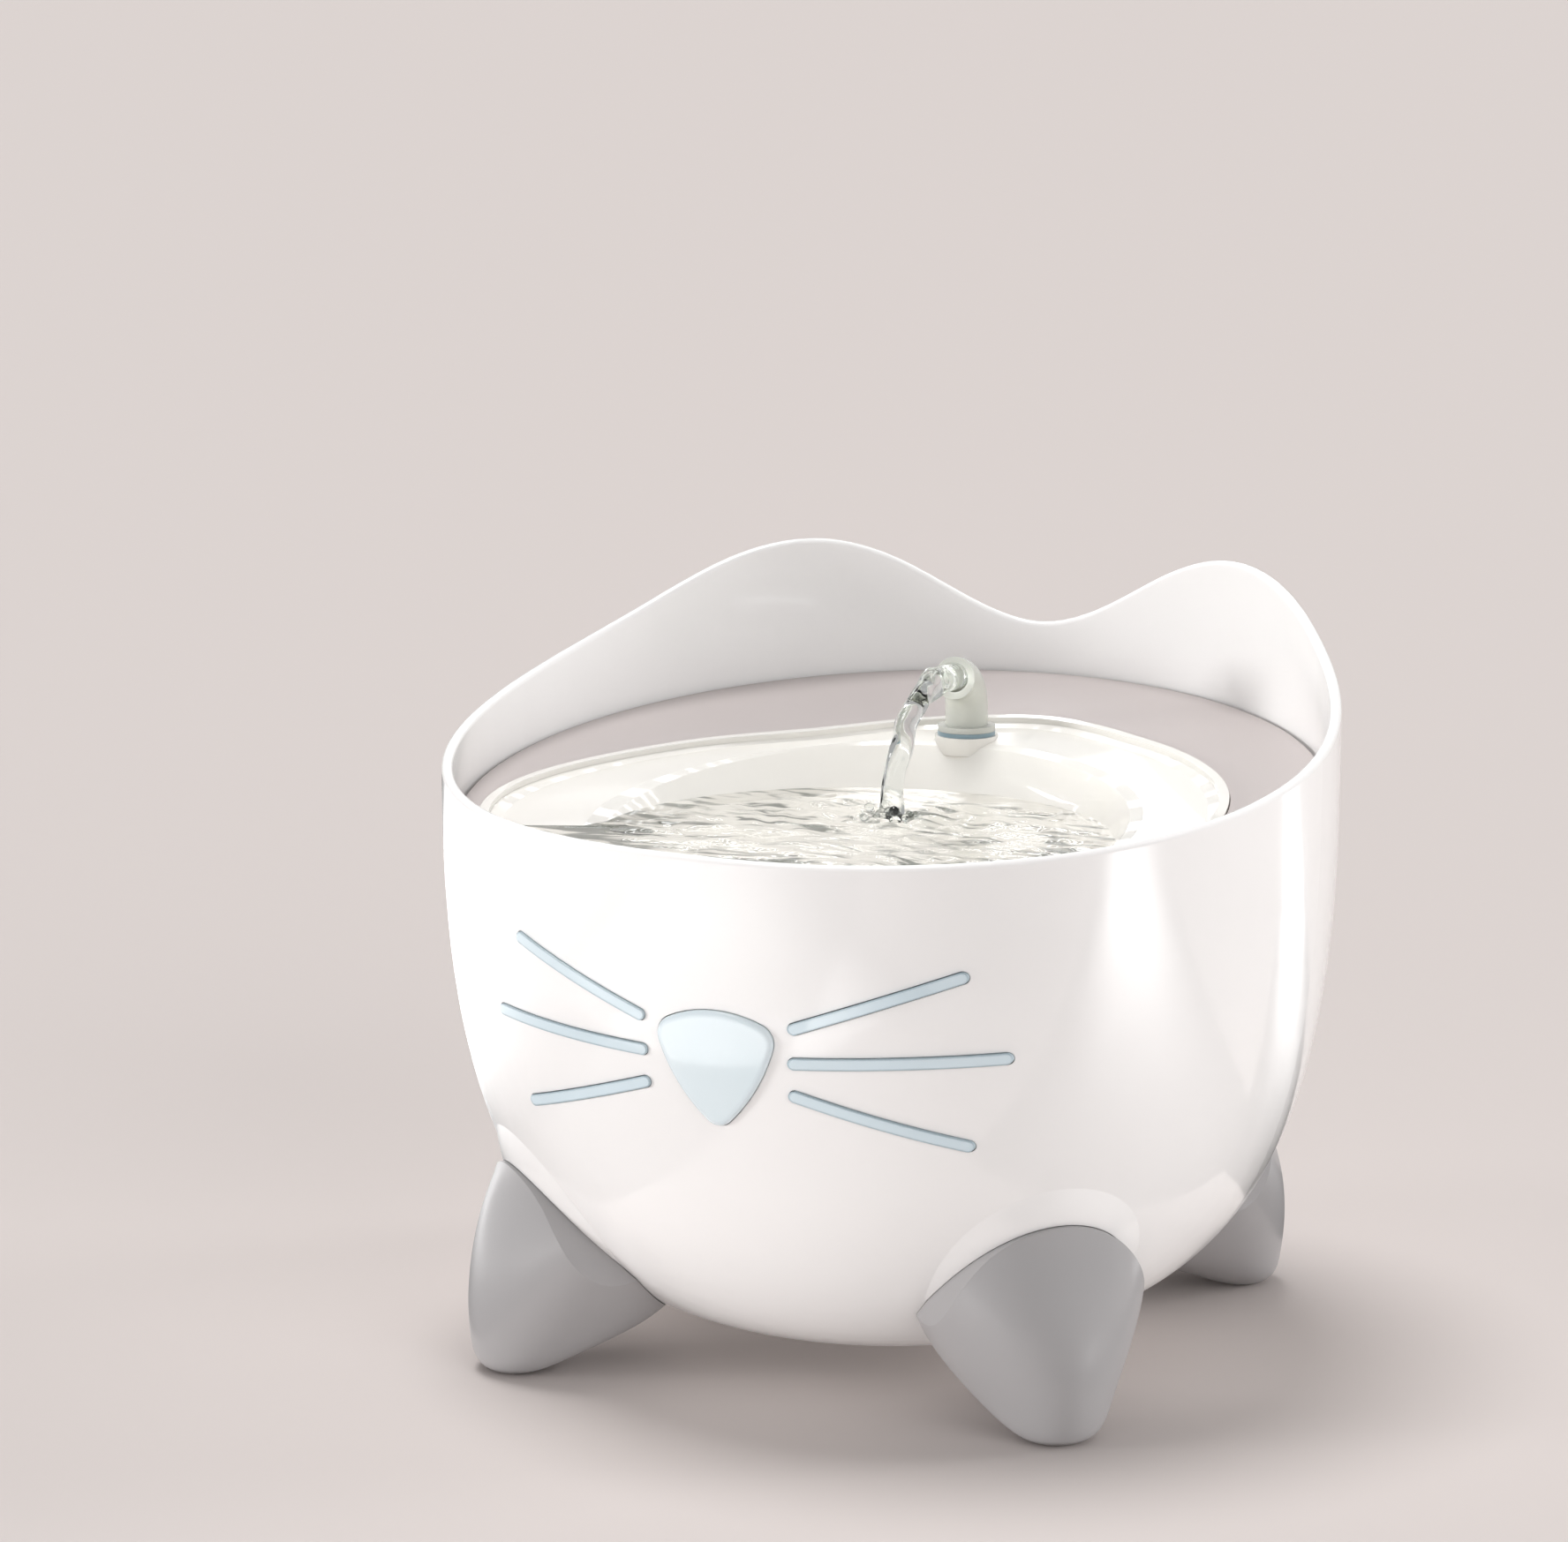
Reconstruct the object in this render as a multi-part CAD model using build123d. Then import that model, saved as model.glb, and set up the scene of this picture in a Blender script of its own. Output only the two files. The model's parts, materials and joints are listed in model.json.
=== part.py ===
"""Pet water fountain with a cat's face: a bowl-shaped reservoir on four ear-shaped feet.

A submersible pump lifts the water through a riser and a bent spout.  The water falls on a
drinking dish, which drops into a grey tray, and runs back through a filter under the tray.
Units are millimetres, +Z is up, the nose points to -Y, and the floor is Z = 0.
"""

import math
import os

from build123d import *

# Reservoir bowl: a turned shell with a wavy rim.
rim_radius = 103.0  # outside of the wall
front_height = 130.6  # rim at the nose
wall = 2.5
base_radius = 44.0  # flat underside
base_height = 8.0  # underside above the floor
belly_angle = 13.5  # rise of the underside where it leaves the flat, in degrees
belly_handle = 0.744  # share of the way out to the wall that the underside's curve is led along
shoulder_drop = 2.6  # from the rim at the nose down to where the wall turns upright
shoulder_handle = 0.598  # share of the way down that the wall's curve is led along
curve_ease = 120.0  # keeps the wall even where the belly turns
rim_fillet = 1.1
past = 10.0  # how far a cutter runs on past what it cuts

# How far the rim rises above its height at the nose, by angle from the nose:
# level in front, two ears behind, a dip between them.
rim_rises = {
    0: 0.0,
    40: 0.9,
    70: 5.8,
    100: 15.6,
    122: 27.9,
    138: 39.4,
    149: 41.8,
    160: 36.4,
    170: 27.0,
    180: 21.9,
}
shoulder_height = front_height - shoulder_drop
stock_top = front_height + max(rim_rises.values()) + past  # the turned blank, before the rim is cut

# Feet and the brows moulded over them.
foot_angles = {"front_left": -45, "front_right": 45, "rear_left": -135, "rear_right": 135}
# Level sections of a foot: height, how far its inner and its outer side lie inside the rim's
# radius, and half its width.
foot_sections = (
    (0.0, 14.5, 6.0, 5.0),
    (1.8, 20.5, 2.4, 9.2),
    (6.0, 31.5, 0.7, 13.4),
    (13.0, 46.0, 0.2, 18.4),
    (26.0, 52.0, 1.8, 25.2),
    (38.0, 50.0, 5.6, 27.0),
    (52.0, 45.0, 9.8, 26.0),
)
foot_arch_radius = 24.6  # parting line between the brow and the foot
foot_arch_height = 23.4
foot_gap = 0.15
brow_radius = 48.0
brow_rise = 3.8
brow_height = 31.0
foot_screw_reach = rim_radius - 33.0
foot_screw_radius = 1.3
foot_screw_head_radius = 2.8
foot_screw_head = 2.2
foot_boss_radius = 4.5
foot_boss_depth = 5.6  # how far the boss stands out of the bowl's underside
foot_web = 3.0  # left of the foot between the boss and the screw's head
foot_screw_bite = 4.5
screw_play = 0.1

# Face: a nose lens and a whisker window, both behind the wall and standing through it.
nose_width = 28.2
nose_height = 25.4
nose_drop = 46.0  # the nose's middle, below the rim
nose_center_height = front_height - nose_drop
nose_top = 0.34  # shares of the nose's height: its upper corners above its middle
nose_tip = 0.56  # its point below the middle
nose_crown = 0.17  # its upper side's bow
nose_bow = 0.07  # share of the width that the other two sides bow out
nose_cheek = 0.16  # shares of the width that the corners and the point are rounded by
nose_point = 0.13
nose_proud = 1.3
nose_play = 0.15
whisker_width = 2.6
whisker_proud = 0.6
# Inner and outer end of each whisker on the right cheek, measured from the nose's middle.
whiskers = (((17.9, 10.1), (51.4, 21.7)), ((17.6, 2.3), (59.0, 3.5)), ((17.4, -5.1), (51.0, -16.1)))
window_half_width = 70.0
window_height = 55.0
window_rise = 2.9  # the window's middle, above the nose's middle
window_corner = 12.0
window_gasket = 0.8
window_gasket_width = 5.0
window_gasket_skin = 0.06  # keeps the seal's curved faces off the wall and the window
window_plate = 1.6
nose_flange = 3.0
stake_radius = 2.0
stake_head_radius = 3.4
stake_head = 1.4
stake_places = ((30.0, 25.9), (30.0, -20.1))  # from the nose's middle

# Seat of the tray: level in front, then rising to the back.
seat_drop = 9.1  # from the rim at the nose down to the tray
seat_front_height = front_height - seat_drop
seat_bend = -41.0
seat_slope = 7.5
seat_bend_length = 25.0
seat_clearance = 0.3
ledge_depth = 4.0
below_seat = seat_front_height - 30.0  # where prisms through the tray start and end
above_seat = seat_front_height + 50.0

# Tray frame, the grey band round the dish.
tray_play = 1.1
tray_radius = rim_radius - wall - tray_play
tray_thickness = 2.2
ledge_hold = 2.6  # how far the tray lies over the ledge
ledge_radius = tray_radius - ledge_hold
skirt_radius = ledge_radius - 1.2
skirt_thickness = 1.8
skirt_depth = 7.0
rebate_depth = 1.4

# Drinking dish: a round well in front of the spout, and an outline that wanders between the
# well's edge and the tray's.
spout_place = 50.0  # the spout and the riser, behind the bowl's axis
water_drop = 1.0  # the pool's surface, below the tray in front
water_level = seat_front_height - water_drop
well_front_band = 20.1  # from the well's edge to the tray's, in front
well_back_band = 11.9  # from the well's edge to the spout's axis
well_front = well_front_band - tray_radius
well_back = spout_place - well_back_band
well_radius = (well_back - well_front) / 2
well_center = (well_back + well_front) / 2
well_depth = 7.7
well_floor_height = water_level - well_depth
well_run = 0.72  # how much the well widens for each millimetre of height
well_foot = 8.7  # how much narrower the well is at its floor than at its edge
# Share of the way from the well's edge to the tray's edge at which the dish's edge lies,
# every 30 degrees from the right round the back.
dish_shares = (0.566, 0.543, 0.445, 0.356, 0.221, 0.421, 0.825, 0.809, 0.752, 0.711, 0.663, 0.636)
lobe_angle = 77.0
lobe_reach = 3.0
lobe_spread = 10.0
dish_play = 0.2
dish_lip = 2.6
dish_proud = 0.6
dish_wall = 2.0
dish_grow = 0.8  # how much wider the dish is outside than inside
plateau_depth = 2.0
# From the dish's edge in to the well's brink: share of the way, and share of the plateau's depth.
edge_steps = ((0.0, 0.35), (0.12, 0.75), (0.85, 1.0))
brink_drop = 0.6
well_steps = ((-3.0, 2.2), (3.0, 0.3), (12.0, 0.0))  # past the well's foot, and above its floor
weir_half_length = 18.0
weir_width = 7.0
weir_place = well_front - 6.2
drain_slots = 5
drain_slot_length = 5.6
drain_slot_width = 3.0
drain_slot_pitch = 8.0

# Spout and riser.
spout_bore = 3.4
spout_radius = spout_bore + 1.7
spout_straight = 5.2
spout_bend = 8.5
spout_bend_angle = 78.0
spout_nozzle = 1.6
spout_flange = 1.4
spout_stem_radius = spout_bore + 1.2
spout_flange_radius = spout_stem_radius + 2.3
spout_stem = 18.0
spout_seal_thickness = 1.0
slide_gap = 0.3
press_skin = 0.05  # between pieces that are pushed together
collar_radius = spout_flange_radius + 0.7
collar_depth = 2.2
riser_bore = spout_bore + 0.2
riser_radius = riser_bore + 1.9
riser_cup_radius = spout_stem_radius + 2.3
riser_cup_depth = 12.0
riser_cup_floor = 1.5
riser_socket_wall = 1.6
riser_grip = 6.5  # how far the riser is pushed over the spigot
riser_socket_end = 2.0  # how far the socket's wall goes on above the spigot
riser_top_gap = 4.0

# Pump.
cup_height = 7.5  # from the bowl's floor to the pump's underside
pump_half_width = 21.0
pump_half_height = 18.0
pump_axis_height = base_height + wall + cup_height + pump_half_height
pump_length = 34.5
pump_corner = 6.0
pump_edge = 2.0
volute_depth = 13.0
volute_radius = 17.0
volute_wall = 2.0
pump_back = spout_place - volute_depth / 2  # where the motor housing ends and the volute begins
pump_front = pump_back - pump_length
spigot_radius = 5.0
spigot_bore = 3.5
spigot_top = pump_axis_height + max(volute_radius, pump_half_height) + riser_grip + 0.5
rotor_well_radius = 8.0
rotor_well_depth = 30.0
magnet_radius = rotor_well_radius - 0.6
magnet_length = 24.0
magnet_gap = 1.0
impeller_radius = volute_radius - volute_wall - 3.5
impeller_width = 6.5
impeller_plate = 1.2
impeller_gap = 1.2
impeller_blades = 6
impeller_hub = 4.2
impeller_sleeve = 3.6  # through the magnet
impeller_sweep = 1.6  # how far a blade bows forwards
shaft_radius = 1.15
shaft_play = 0.08
bushing_radius = 3.6
bushing_length = 3.0
intake_radius = 7.5
intake_arm = 1.8
lever_radius = 13.0
lever_thickness = 1.8
lever_clearance = 0.3
lever_collar = intake_radius + 0.9
lever_tab = (9.0, 5.0)
lever_hole_radius = 1.3
cage_radius = 14.6
cage_depth = 9.0
cage_wall = 1.5
cage_slots = 12
cage_slot_place = 9.0
cage_slot_length = 8.0
cage_mouth_lip = 0.5
cup_radius = 6.0
cup_stem_radius = 2.2
cup_stem_grip = 2.8
cup_lip = 0.8  # thickness of the cup's rim
cup_dome = 3.2  # height of the cup where its neck begins
cup_hollow = 1.6
cup_neck_radius = cup_stem_radius + 1.2
cup_inset = 9.0
cup_pitch = 16.0
led_radius = 2.5
led_rise = 6.0
led_depth = 4.0
led_proud = 1.5

# Power inlet, at the back and above the water.
inlet_drop = 7.5  # below the tray in front
inlet_height = seat_front_height - inlet_drop
inlet_radius = 5.9
inlet_bore = 3.7
inlet_bore_depth = 9.5
inlet_flange_radius = inlet_radius + 2.9
inlet_flange = 1.6
inlet_recess_radius = inlet_flange_radius + 0.6
inlet_recess_floor = rim_radius - 3.6
inlet_pad_radius = inlet_recess_radius + 2.6
inlet_pad = inlet_recess_floor - 5.4
inlet_nut_flats = 2 * inlet_radius + 5.2
inlet_nut = 3.6
inlet_seal = 1.2
inlet_rear = inlet_recess_floor - 17.4
inlet_pin_radius = 1.0
inlet_pin_root = 4.0
inlet_pin_short = 1.5  # the pin ends this far inside the socket's face
cable_radius = 2.2
cable_root = 4.0
cable_exit = (pump_half_width - 8.0, pump_front + 15.0)
cable_grip = 3.0  # how far it goes into the inlet
cable_bend = 8.0
cable_straight = 11.0  # behind the last bend
cable_back = 12.0  # the last bend but one, in front of that
cable_rise = 20.0  # the second bend, below that one
cable_dip = 8.0  # the third, below the inlet

# Filter under the tray.
filter_half_width = 29.0
filter_front = 14.0 - rim_radius
filter_back = filter_front + 42.0
filter_top = seat_front_height - 13.5
filter_bottom = filter_top - 26.0
filter_wall = 1.8
filter_corner = 5.0
filter_play = 0.4
cartridge_height = 17.0
cartridge_chamfer = 1.2
cover_thickness = 1.6
cover_play = 0.1
filter_slot_count = 8
filter_slot_share = 0.45  # of the pitch that is open
filter_margin = 6.0  # left closed at each side
basket_slot_length = 30.0
cover_slot_length = 26.0
holder_post_radius = 3.6
holder_ear = 3.0
holder_ear_rim = 0.8
holder_post_front = 13.0  # from the filter's front and back to the posts
holder_post_back = 9.0
holder_screw_radius = 1.2
holder_screw_head_radius = 2.6
holder_screw_head = 1.8
holder_screw_bite = 4.5
holder_reach = filter_half_width + 6.0
holder_rows = (filter_front + holder_post_front, filter_back - holder_post_back)
holder_posts = [(x, y) for x in (-holder_reach, holder_reach) for y in holder_rows]

ring_points = 36


def along_z(sketch, bottom, top):
    """Extrudes a plan outline between two heights."""
    return extrude(Plane.XY.offset(bottom) * sketch, top - bottom)


def along_y(sketch, front, back):
    """Extrudes a front-view outline (X, Z) between two distances in Y."""
    return extrude(Plane.XZ.offset(-back) * sketch, back - front)


def bar(start, end, width):
    """A round-ended bar between two points of a sketch."""
    (x0, y0), (x1, y1) = start, end
    length = math.hypot(x1 - x0, y1 - y0)
    turn = math.degrees(math.atan2(y1 - y0, x1 - x0))
    return Pos((x0 + x1) / 2, (y0 + y1) / 2) * Rot(0, 0, turn) * SlotCenterToCenter(length, width)


def side_curve(inset):
    """Half outline of the bowl's side, moved inwards by inset."""
    rise = math.radians(belly_angle)
    ease = 1 - inset / curve_ease
    x, z = base_radius - inset * math.tan(rise / 2), base_height + inset
    reach = (rim_radius - base_radius) * belly_handle * ease
    drop = (shoulder_height - base_height) * shoulder_handle * ease
    radius = rim_radius - inset
    return Bezier(
        (x, z),
        (x + reach * math.cos(rise), z + reach * math.sin(rise)),
        (radius, shoulder_height - drop),
        (radius, shoulder_height),
    )


def place_on_side(miss):
    """The point of the bowl's outside, and its direction there, at which miss is smallest."""
    side = side_curve(0)
    share = min((step / 200 for step in range(201)), key=lambda t: abs(miss(side @ t)))
    return side @ share, side % share


def underside_at(radius):
    """Height of the bowl's underside at a distance from its axis."""
    return place_on_side(lambda point: point.X - radius)[0].Y


def turned(inset, top=stock_top):
    """The bowl's form as a solid, moved inwards by inset and cut off level at top."""
    side = side_curve(inset)
    start, end = side @ 0, side @ 1
    rest = Polyline((end.X, end.Y), (end.X, top), (0, top), (0, start.Y), (start.X, start.Y))
    return revolve(Plane.XZ * make_face(side + rest), Axis.Z)


def layer(outer, inner):
    """A thin layer that follows the bowl's wall between two insets."""
    return turned(outer) - turned(inner)


def ring(radius_at, height_at, center=0.0, angles=None):
    """A closed smooth curve round the vertical axis, from its radius and height by angle."""
    steps = angles or [360 / ring_points * step for step in range(ring_points)]
    points = []
    for angle in steps:
        turn = math.radians(angle)
        radius = radius_at(angle)
        x, y = radius * math.cos(turn), center + radius * math.sin(turn)
        points.append((x, y, height_at(angle, y)))
    return Wire([Spline(*points, periodic=True).edge()])


def stacked(rings):
    """A solid whose ruled sides join closed curves; the first and last are level."""
    return Solid.make_loft(rings, ruled=True)


def rim_cutter():
    """Everything above the wavy rim."""
    half = list(rim_rises)
    angles = half + [360 - angle for angle in reversed(half[1:-1])]
    rises = {angle - 90: rim_rises[min(angle, 360 - angle)] for angle in angles}

    def rim(radius):
        return ring(lambda angle: radius, lambda angle, y: front_height + rises[angle], angles=list(rises))

    def level(radius, z):
        return ring(lambda angle: radius, lambda angle, y: z, angles=list(rises))

    outer, inner = rim_radius + past, rim_radius - 2 * past
    return stacked([level(outer, stock_top + past), rim(outer), rim(inner), level(inner - past, front_height)])


def seat_height(y):
    """Height of the tray's upper face: level in front, sloping up behind a smooth bend."""
    slope = math.tan(math.radians(seat_slope))
    behind = y - seat_bend
    if behind <= -seat_bend_length:
        return seat_front_height
    if behind >= seat_bend_length:
        return seat_front_height + slope * behind
    return seat_front_height + slope * (behind + seat_bend_length) ** 2 / (4 * seat_bend_length)


def seat_slab(top, bottom):
    """The layer between two distances from the tray's upper face, right across the bowl."""
    reach = rim_radius + past
    slope = math.tan(math.radians(seat_slope))
    bend_radius = seat_bend_length / math.tan(math.radians(seat_slope / 2))
    rise = seat_front_height + slope * (reach - seat_bend)
    corners = [(-reach, seat_front_height), (seat_bend, seat_front_height), (reach, rise)]
    upper = [(y, z + top) for y, z in corners]
    lower = [(y, z + bottom) for y, z in reversed(corners)]
    outline = make_face(Polyline(*upper, *lower, close=True))
    bends = [corner for corner in outline.vertices() if abs(corner.X - seat_bend) < 1]
    return extrude(Plane.YZ * fillet(bends, bend_radius), reach, both=True)


def foot_zone(shrink):
    """Front-view zone below the arched parting line of a foot, pulled in by shrink."""
    arch = Pos(0, foot_arch_height) * Circle(foot_arch_radius - shrink)
    below = Pos(0, (foot_arch_height - past) / 2 - shrink)
    return arch + below * Rectangle(rim_radius, foot_arch_height + past)


def brow():
    """The swelling over the front foot, above the parting line."""
    place, along = place_on_side(lambda point: point.Y - brow_height)
    depth = brow_radius - brow_rise
    y, z = place.X - along.Y * depth, place.Y + along.X * depth
    swelling = Pos(0, -y, z) * Sphere(brow_radius)
    zone = Rectangle(rim_radius, 2 * rim_radius) - foot_zone(0)
    return swelling & along_y(zone, -rim_radius - past, -rim_radius / 2)


def foot_screw_axis():
    return Pos(0, -foot_screw_reach)


def boss_bottom():
    return underside_at(foot_screw_reach) - foot_boss_depth


def leg_boss():
    """The blind boss on the bowl's underside that takes a foot's screw."""
    boss = along_z(foot_screw_axis() * Circle(foot_boss_radius), boss_bottom(), boss_bottom() + past)
    return boss - turned(wall / 2)


def leg_boss_hole():
    hole = foot_screw_axis() * Circle(foot_screw_radius + screw_play)
    return along_z(hole, boss_bottom() - 1, boss_bottom() + foot_screw_bite + screw_play)


def foot():
    """One ear-shaped foot, in front of the bowl, before it is turned to its corner."""
    sections = []
    for height, inner, outer, half_width in foot_sections:
        middle, depth = rim_radius - (inner + outer) / 2, (inner - outer) / 2
        sections.append(Plane.XY.offset(height) * Pos(0, -middle) * Ellipse(half_width, depth))
    shape = loft(sections)
    shape &= along_y(foot_zone(foot_gap), -rim_radius - past, 0)
    shape -= turned(-foot_gap)
    pocket = foot_screw_axis() * Circle(foot_boss_radius + foot_gap)
    shape -= along_z(pocket, boss_bottom() - foot_gap, rim_radius)
    shape -= along_z(foot_screw_axis() * Circle(foot_screw_radius + 2 * screw_play), -1, rim_radius)
    head = foot_screw_axis() * Circle(foot_screw_head_radius + 4 * screw_play)
    shape -= along_z(head, -1, boss_bottom() - foot_web)
    return shape


def foot_screw():
    seat = boss_bottom() - foot_web
    screw = along_z(foot_screw_axis() * Circle(foot_screw_head_radius), seat - foot_screw_head, seat)
    shank = foot_screw_axis() * Circle(foot_screw_radius)
    return screw + along_z(shank, seat, boss_bottom() + foot_screw_bite)


def nose_outline(grow=0.0):
    """A rounded triangle with bowed sides, its point down, grown all round by grow."""
    size = 1 + 2 * grow / nose_height
    half, top, tip = nose_width / 2 * size, nose_height * nose_top * size, -nose_height * nose_tip * size
    crown, bow = nose_height * nose_crown * size, nose_width * nose_bow * size
    side = (half / 2 + bow, (top + tip) / 2 - bow * 0.6)
    left, right, point = (-half, top), (half, top), (0, tip)
    sides = [
        ThreePointArc(left, (0, top + crown), right),
        ThreePointArc(right, side, point),
        ThreePointArc(point, (-side[0], side[1]), left),
    ]
    outline = make_face(sides)
    outline = fillet(outline.vertices().sort_by(Axis.Y)[1:], nose_width * nose_cheek * size)
    outline = fillet(outline.vertices().sort_by(Axis.Y)[:1], nose_width * nose_point * size)
    return Pos(0, nose_center_height) * outline


def whisker_outline(grow=0.0):
    """All six whiskers, mirrored from the right cheek."""
    outline = Sketch()
    for start, end in whiskers:
        for side in (1, -1):
            ends = (side * start[0], start[1]), (side * end[0], end[1])
            outline += bar(*ends, whisker_width + 2 * grow)
    return Pos(0, nose_center_height) * outline


def window_outline(shrink=0.0):
    width, height = 2 * (window_half_width - shrink), window_height - 2 * shrink
    plate = RectangleRounded(width, height, window_corner - shrink)
    return Pos(0, nose_center_height + window_rise) * plate


def stakes(radius):
    outline = Sketch()
    for x, z in stake_places:
        for side in (1, -1):
            outline += Pos(side * x, nose_center_height + z) * Circle(radius)
    return outline


def front_prism(sketch):
    """A front-view outline driven through the front wall."""
    return along_y(sketch, -rim_radius - past, 0)


def nose_lens():
    """The light-blue nose: a domed lens with a flange behind the whisker window."""
    plate_back = wall + window_gasket + window_plate
    lens = layer(-nose_proud, plate_back + window_plate) & front_prism(nose_outline())
    crown = lens.faces().sort_by(Axis.Y)[0]
    lens = fillet(crown.edges(), nose_proud * 0.9)
    rim = layer(plate_back, plate_back + window_plate) & front_prism(nose_outline(nose_flange))
    return lens + rim


def whisker_window():
    """The clear plate behind the front wall, with the six whiskers standing through it."""
    front = wall + window_gasket
    plate = layer(front, front + window_plate) & front_prism(window_outline())
    bars = layer(-whisker_proud, front + window_plate / 2) & front_prism(whisker_outline())
    window = plate + bars
    window -= front_prism(nose_outline(nose_play))
    window -= front_prism(stakes(stake_radius + nose_play))
    return window


def face_gasket():
    """The seal between the front wall and the whisker window."""
    seal = layer(wall + window_gasket_skin, wall + window_gasket - window_gasket_skin)
    outline = window_outline() - window_outline(window_gasket_width) - stakes(stake_head_radius)
    return seal & front_prism(outline)


def reservoir_bowl():
    """The white shell: rim with ears, tray ledge, brows, bosses, face cut-outs, inlet seat."""
    hollow = turned(wall, stock_top + 1)
    shell = turned(0) - hollow - rim_cutter()
    lip = max(shell.faces(), key=lambda face: face.bounding_box().min.Z)
    shell = fillet(lip.edges(), rim_fillet)
    brow_shell, boss = brow() - hollow, leg_boss()
    for angle in foot_angles.values():
        shell += Rot(0, 0, angle) * (brow_shell + boss)
    ledge_ring = Circle(rim_radius - wall / 2) - Circle(ledge_radius)
    ledge_top = -tray_thickness - seat_clearance
    ledge = along_z(ledge_ring, below_seat, above_seat) & seat_slab(ledge_top, ledge_top - ledge_depth)
    pad = along_y(inlet_at(Circle(inlet_pad_radius)), inlet_pad, rim_radius) & turned(wall / 2)
    window_back = wall + window_gasket + window_plate
    posts = layer(wall / 2, window_back) & front_prism(stakes(stake_radius))
    heads = layer(window_back, window_back + stake_head) & front_prism(stakes(stake_head_radius))
    shell += ledge + pad + posts + heads
    shell -= front_prism(nose_outline(nose_play))
    shell -= front_prism(whisker_outline(nose_play))
    shell -= along_y(inlet_at(Circle(inlet_radius + screw_play)), inlet_pad - 1, rim_radius + past)
    shell -= along_y(inlet_at(Circle(inlet_recess_radius)), inlet_recess_floor, rim_radius + past)
    for angle in foot_angles.values():
        shell -= Rot(0, 0, angle) * leg_boss_hole()
    return shell


def tray_edge_at(angle):
    """Distance from the well's axis to the tray's edge."""
    turn = math.radians(angle)
    across = well_center * math.cos(turn)
    return math.sqrt(tray_radius**2 - across**2) - well_center * math.sin(turn)


def reach_at(angle):
    """Distance from the well's axis to the dish's edge, eased between the given shares."""
    step = 360 / len(dish_shares)
    place = (angle % 360) / step
    index, part = int(place), place - int(place)

    def given(offset):
        spot = (index + offset) % len(dish_shares)
        return well_radius + (tray_edge_at(spot * step) - well_radius) * dish_shares[spot]

    before, here, after, beyond = (given(offset) for offset in (-1, 0, 1, 2))
    curve = (
        2 * here
        + (after - before) * part
        + (2 * before - 5 * here + 4 * after - beyond) * part**2
        + (3 * here - before - 3 * after + beyond) * part**3
    ) / 2
    away = ((angle - lobe_angle) / lobe_spread) ** 2
    return curve + lobe_reach * math.exp(-away)


def dish_prism(inset):
    """The dish's plan outline pulled in by inset, as a tall prism."""
    def level(z):
        return ring(lambda angle: reach_at(angle) - inset, lambda angle, y: z, well_center)

    return stacked([level(below_seat), level(above_seat)])


def well_reach(angle):
    """Radius where the well's sloping wall meets the dish's floor above it."""
    y = well_center + well_radius * math.sin(math.radians(angle))
    return well_radius + (seat_height(y) - plateau_depth - water_level) * well_run


def dish_form(drop, grow):
    """The dish's hollow, or with drop and grow its underside, as a solid plug."""
    def edge(angle):
        return reach_at(angle) - dish_lip + grow

    def part_way(share):
        return lambda angle: edge(angle) + (well_reach(angle) + grow - edge(angle)) * share

    def sunk(depth):
        return lambda angle, y: seat_height(y) - depth - drop

    def level(narrower, rise):
        radius, z = well_radius - narrower + grow, well_floor_height + rise - drop
        return ring(lambda angle: radius, lambda angle, y: z, well_center)

    rings = [ring(edge, lambda angle, y: above_seat, well_center)]
    rings += [ring(part_way(share), sunk(plateau_depth * depth), well_center) for share, depth in edge_steps]
    rings.append(ring(part_way(1.0), sunk(plateau_depth + brink_drop), well_center))
    rings += [level(well_foot + inward, rise) for inward, rise in well_steps]
    return stacked(rings)


def spout_base():
    """Height of the dish's upper face where the spout stands."""
    return seat_height(spout_place + spout_flange_radius) - plateau_depth


def drinking_dish():
    """The cream dish: a lipped flange, a gentle floor, a round well and a slotted weir."""
    below = seat_slab(dish_proud, -rim_radius)
    plug = dish_form(dish_wall, dish_grow) & below
    flange = seat_slab(dish_proud, -rebate_depth) & dish_prism(dish_play)
    shape = plug + flange - dish_form(0, 0)
    spot = Pos(0, spout_place)
    shape += along_z(spot * Circle(collar_radius), spout_base() - dish_wall - collar_depth, spout_base())
    shape -= along_z(spot * Circle(spout_flange_radius + slide_gap), spout_base(), above_seat)
    shape -= along_z(spot * Circle(spout_stem_radius + slide_gap), below_seat, above_seat)
    weir = Pos(0, weir_place) * SlotCenterToCenter(2 * weir_half_length, weir_width)
    shape += along_z(weir, seat_front_height - plateau_depth - dish_wall, water_level)
    slots = Sketch()
    for index in range(drain_slots):
        x = (index - (drain_slots - 1) / 2) * drain_slot_pitch
        slots += Pos(x, weir_place) * SlotOverall(drain_slot_length, drain_slot_width)
    shape -= along_z(slots, below_seat, above_seat)
    for x, y in holder_posts:
        post = along_z(Pos(x, y) * Circle(holder_post_radius), filter_top, seat_height(y) - plateau_depth)
        shape += post - dish_form(dish_wall / 2, dish_grow / 2)
        hole = Pos(x, y) * Circle(holder_screw_radius + screw_play)
        shape -= along_z(hole, filter_top - 1, filter_top + holder_screw_bite + 0.5)
    return shape


def tray_frame():
    """The grey band: a bent ring that sits on the bowl's ledge and holds the dish."""
    frame = seat_slab(0, -tray_thickness) & along_z(Circle(tray_radius), below_seat, above_seat)
    frame -= seat_slab(past, -rebate_depth) & dish_prism(0)
    skirt = Circle(skirt_radius) - Circle(skirt_radius - skirt_thickness)
    frame += along_z(skirt, below_seat, above_seat) & seat_slab(-tray_thickness, -skirt_depth)
    return frame - dish_form(dish_wall + dish_play, dish_grow + dish_play)


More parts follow.
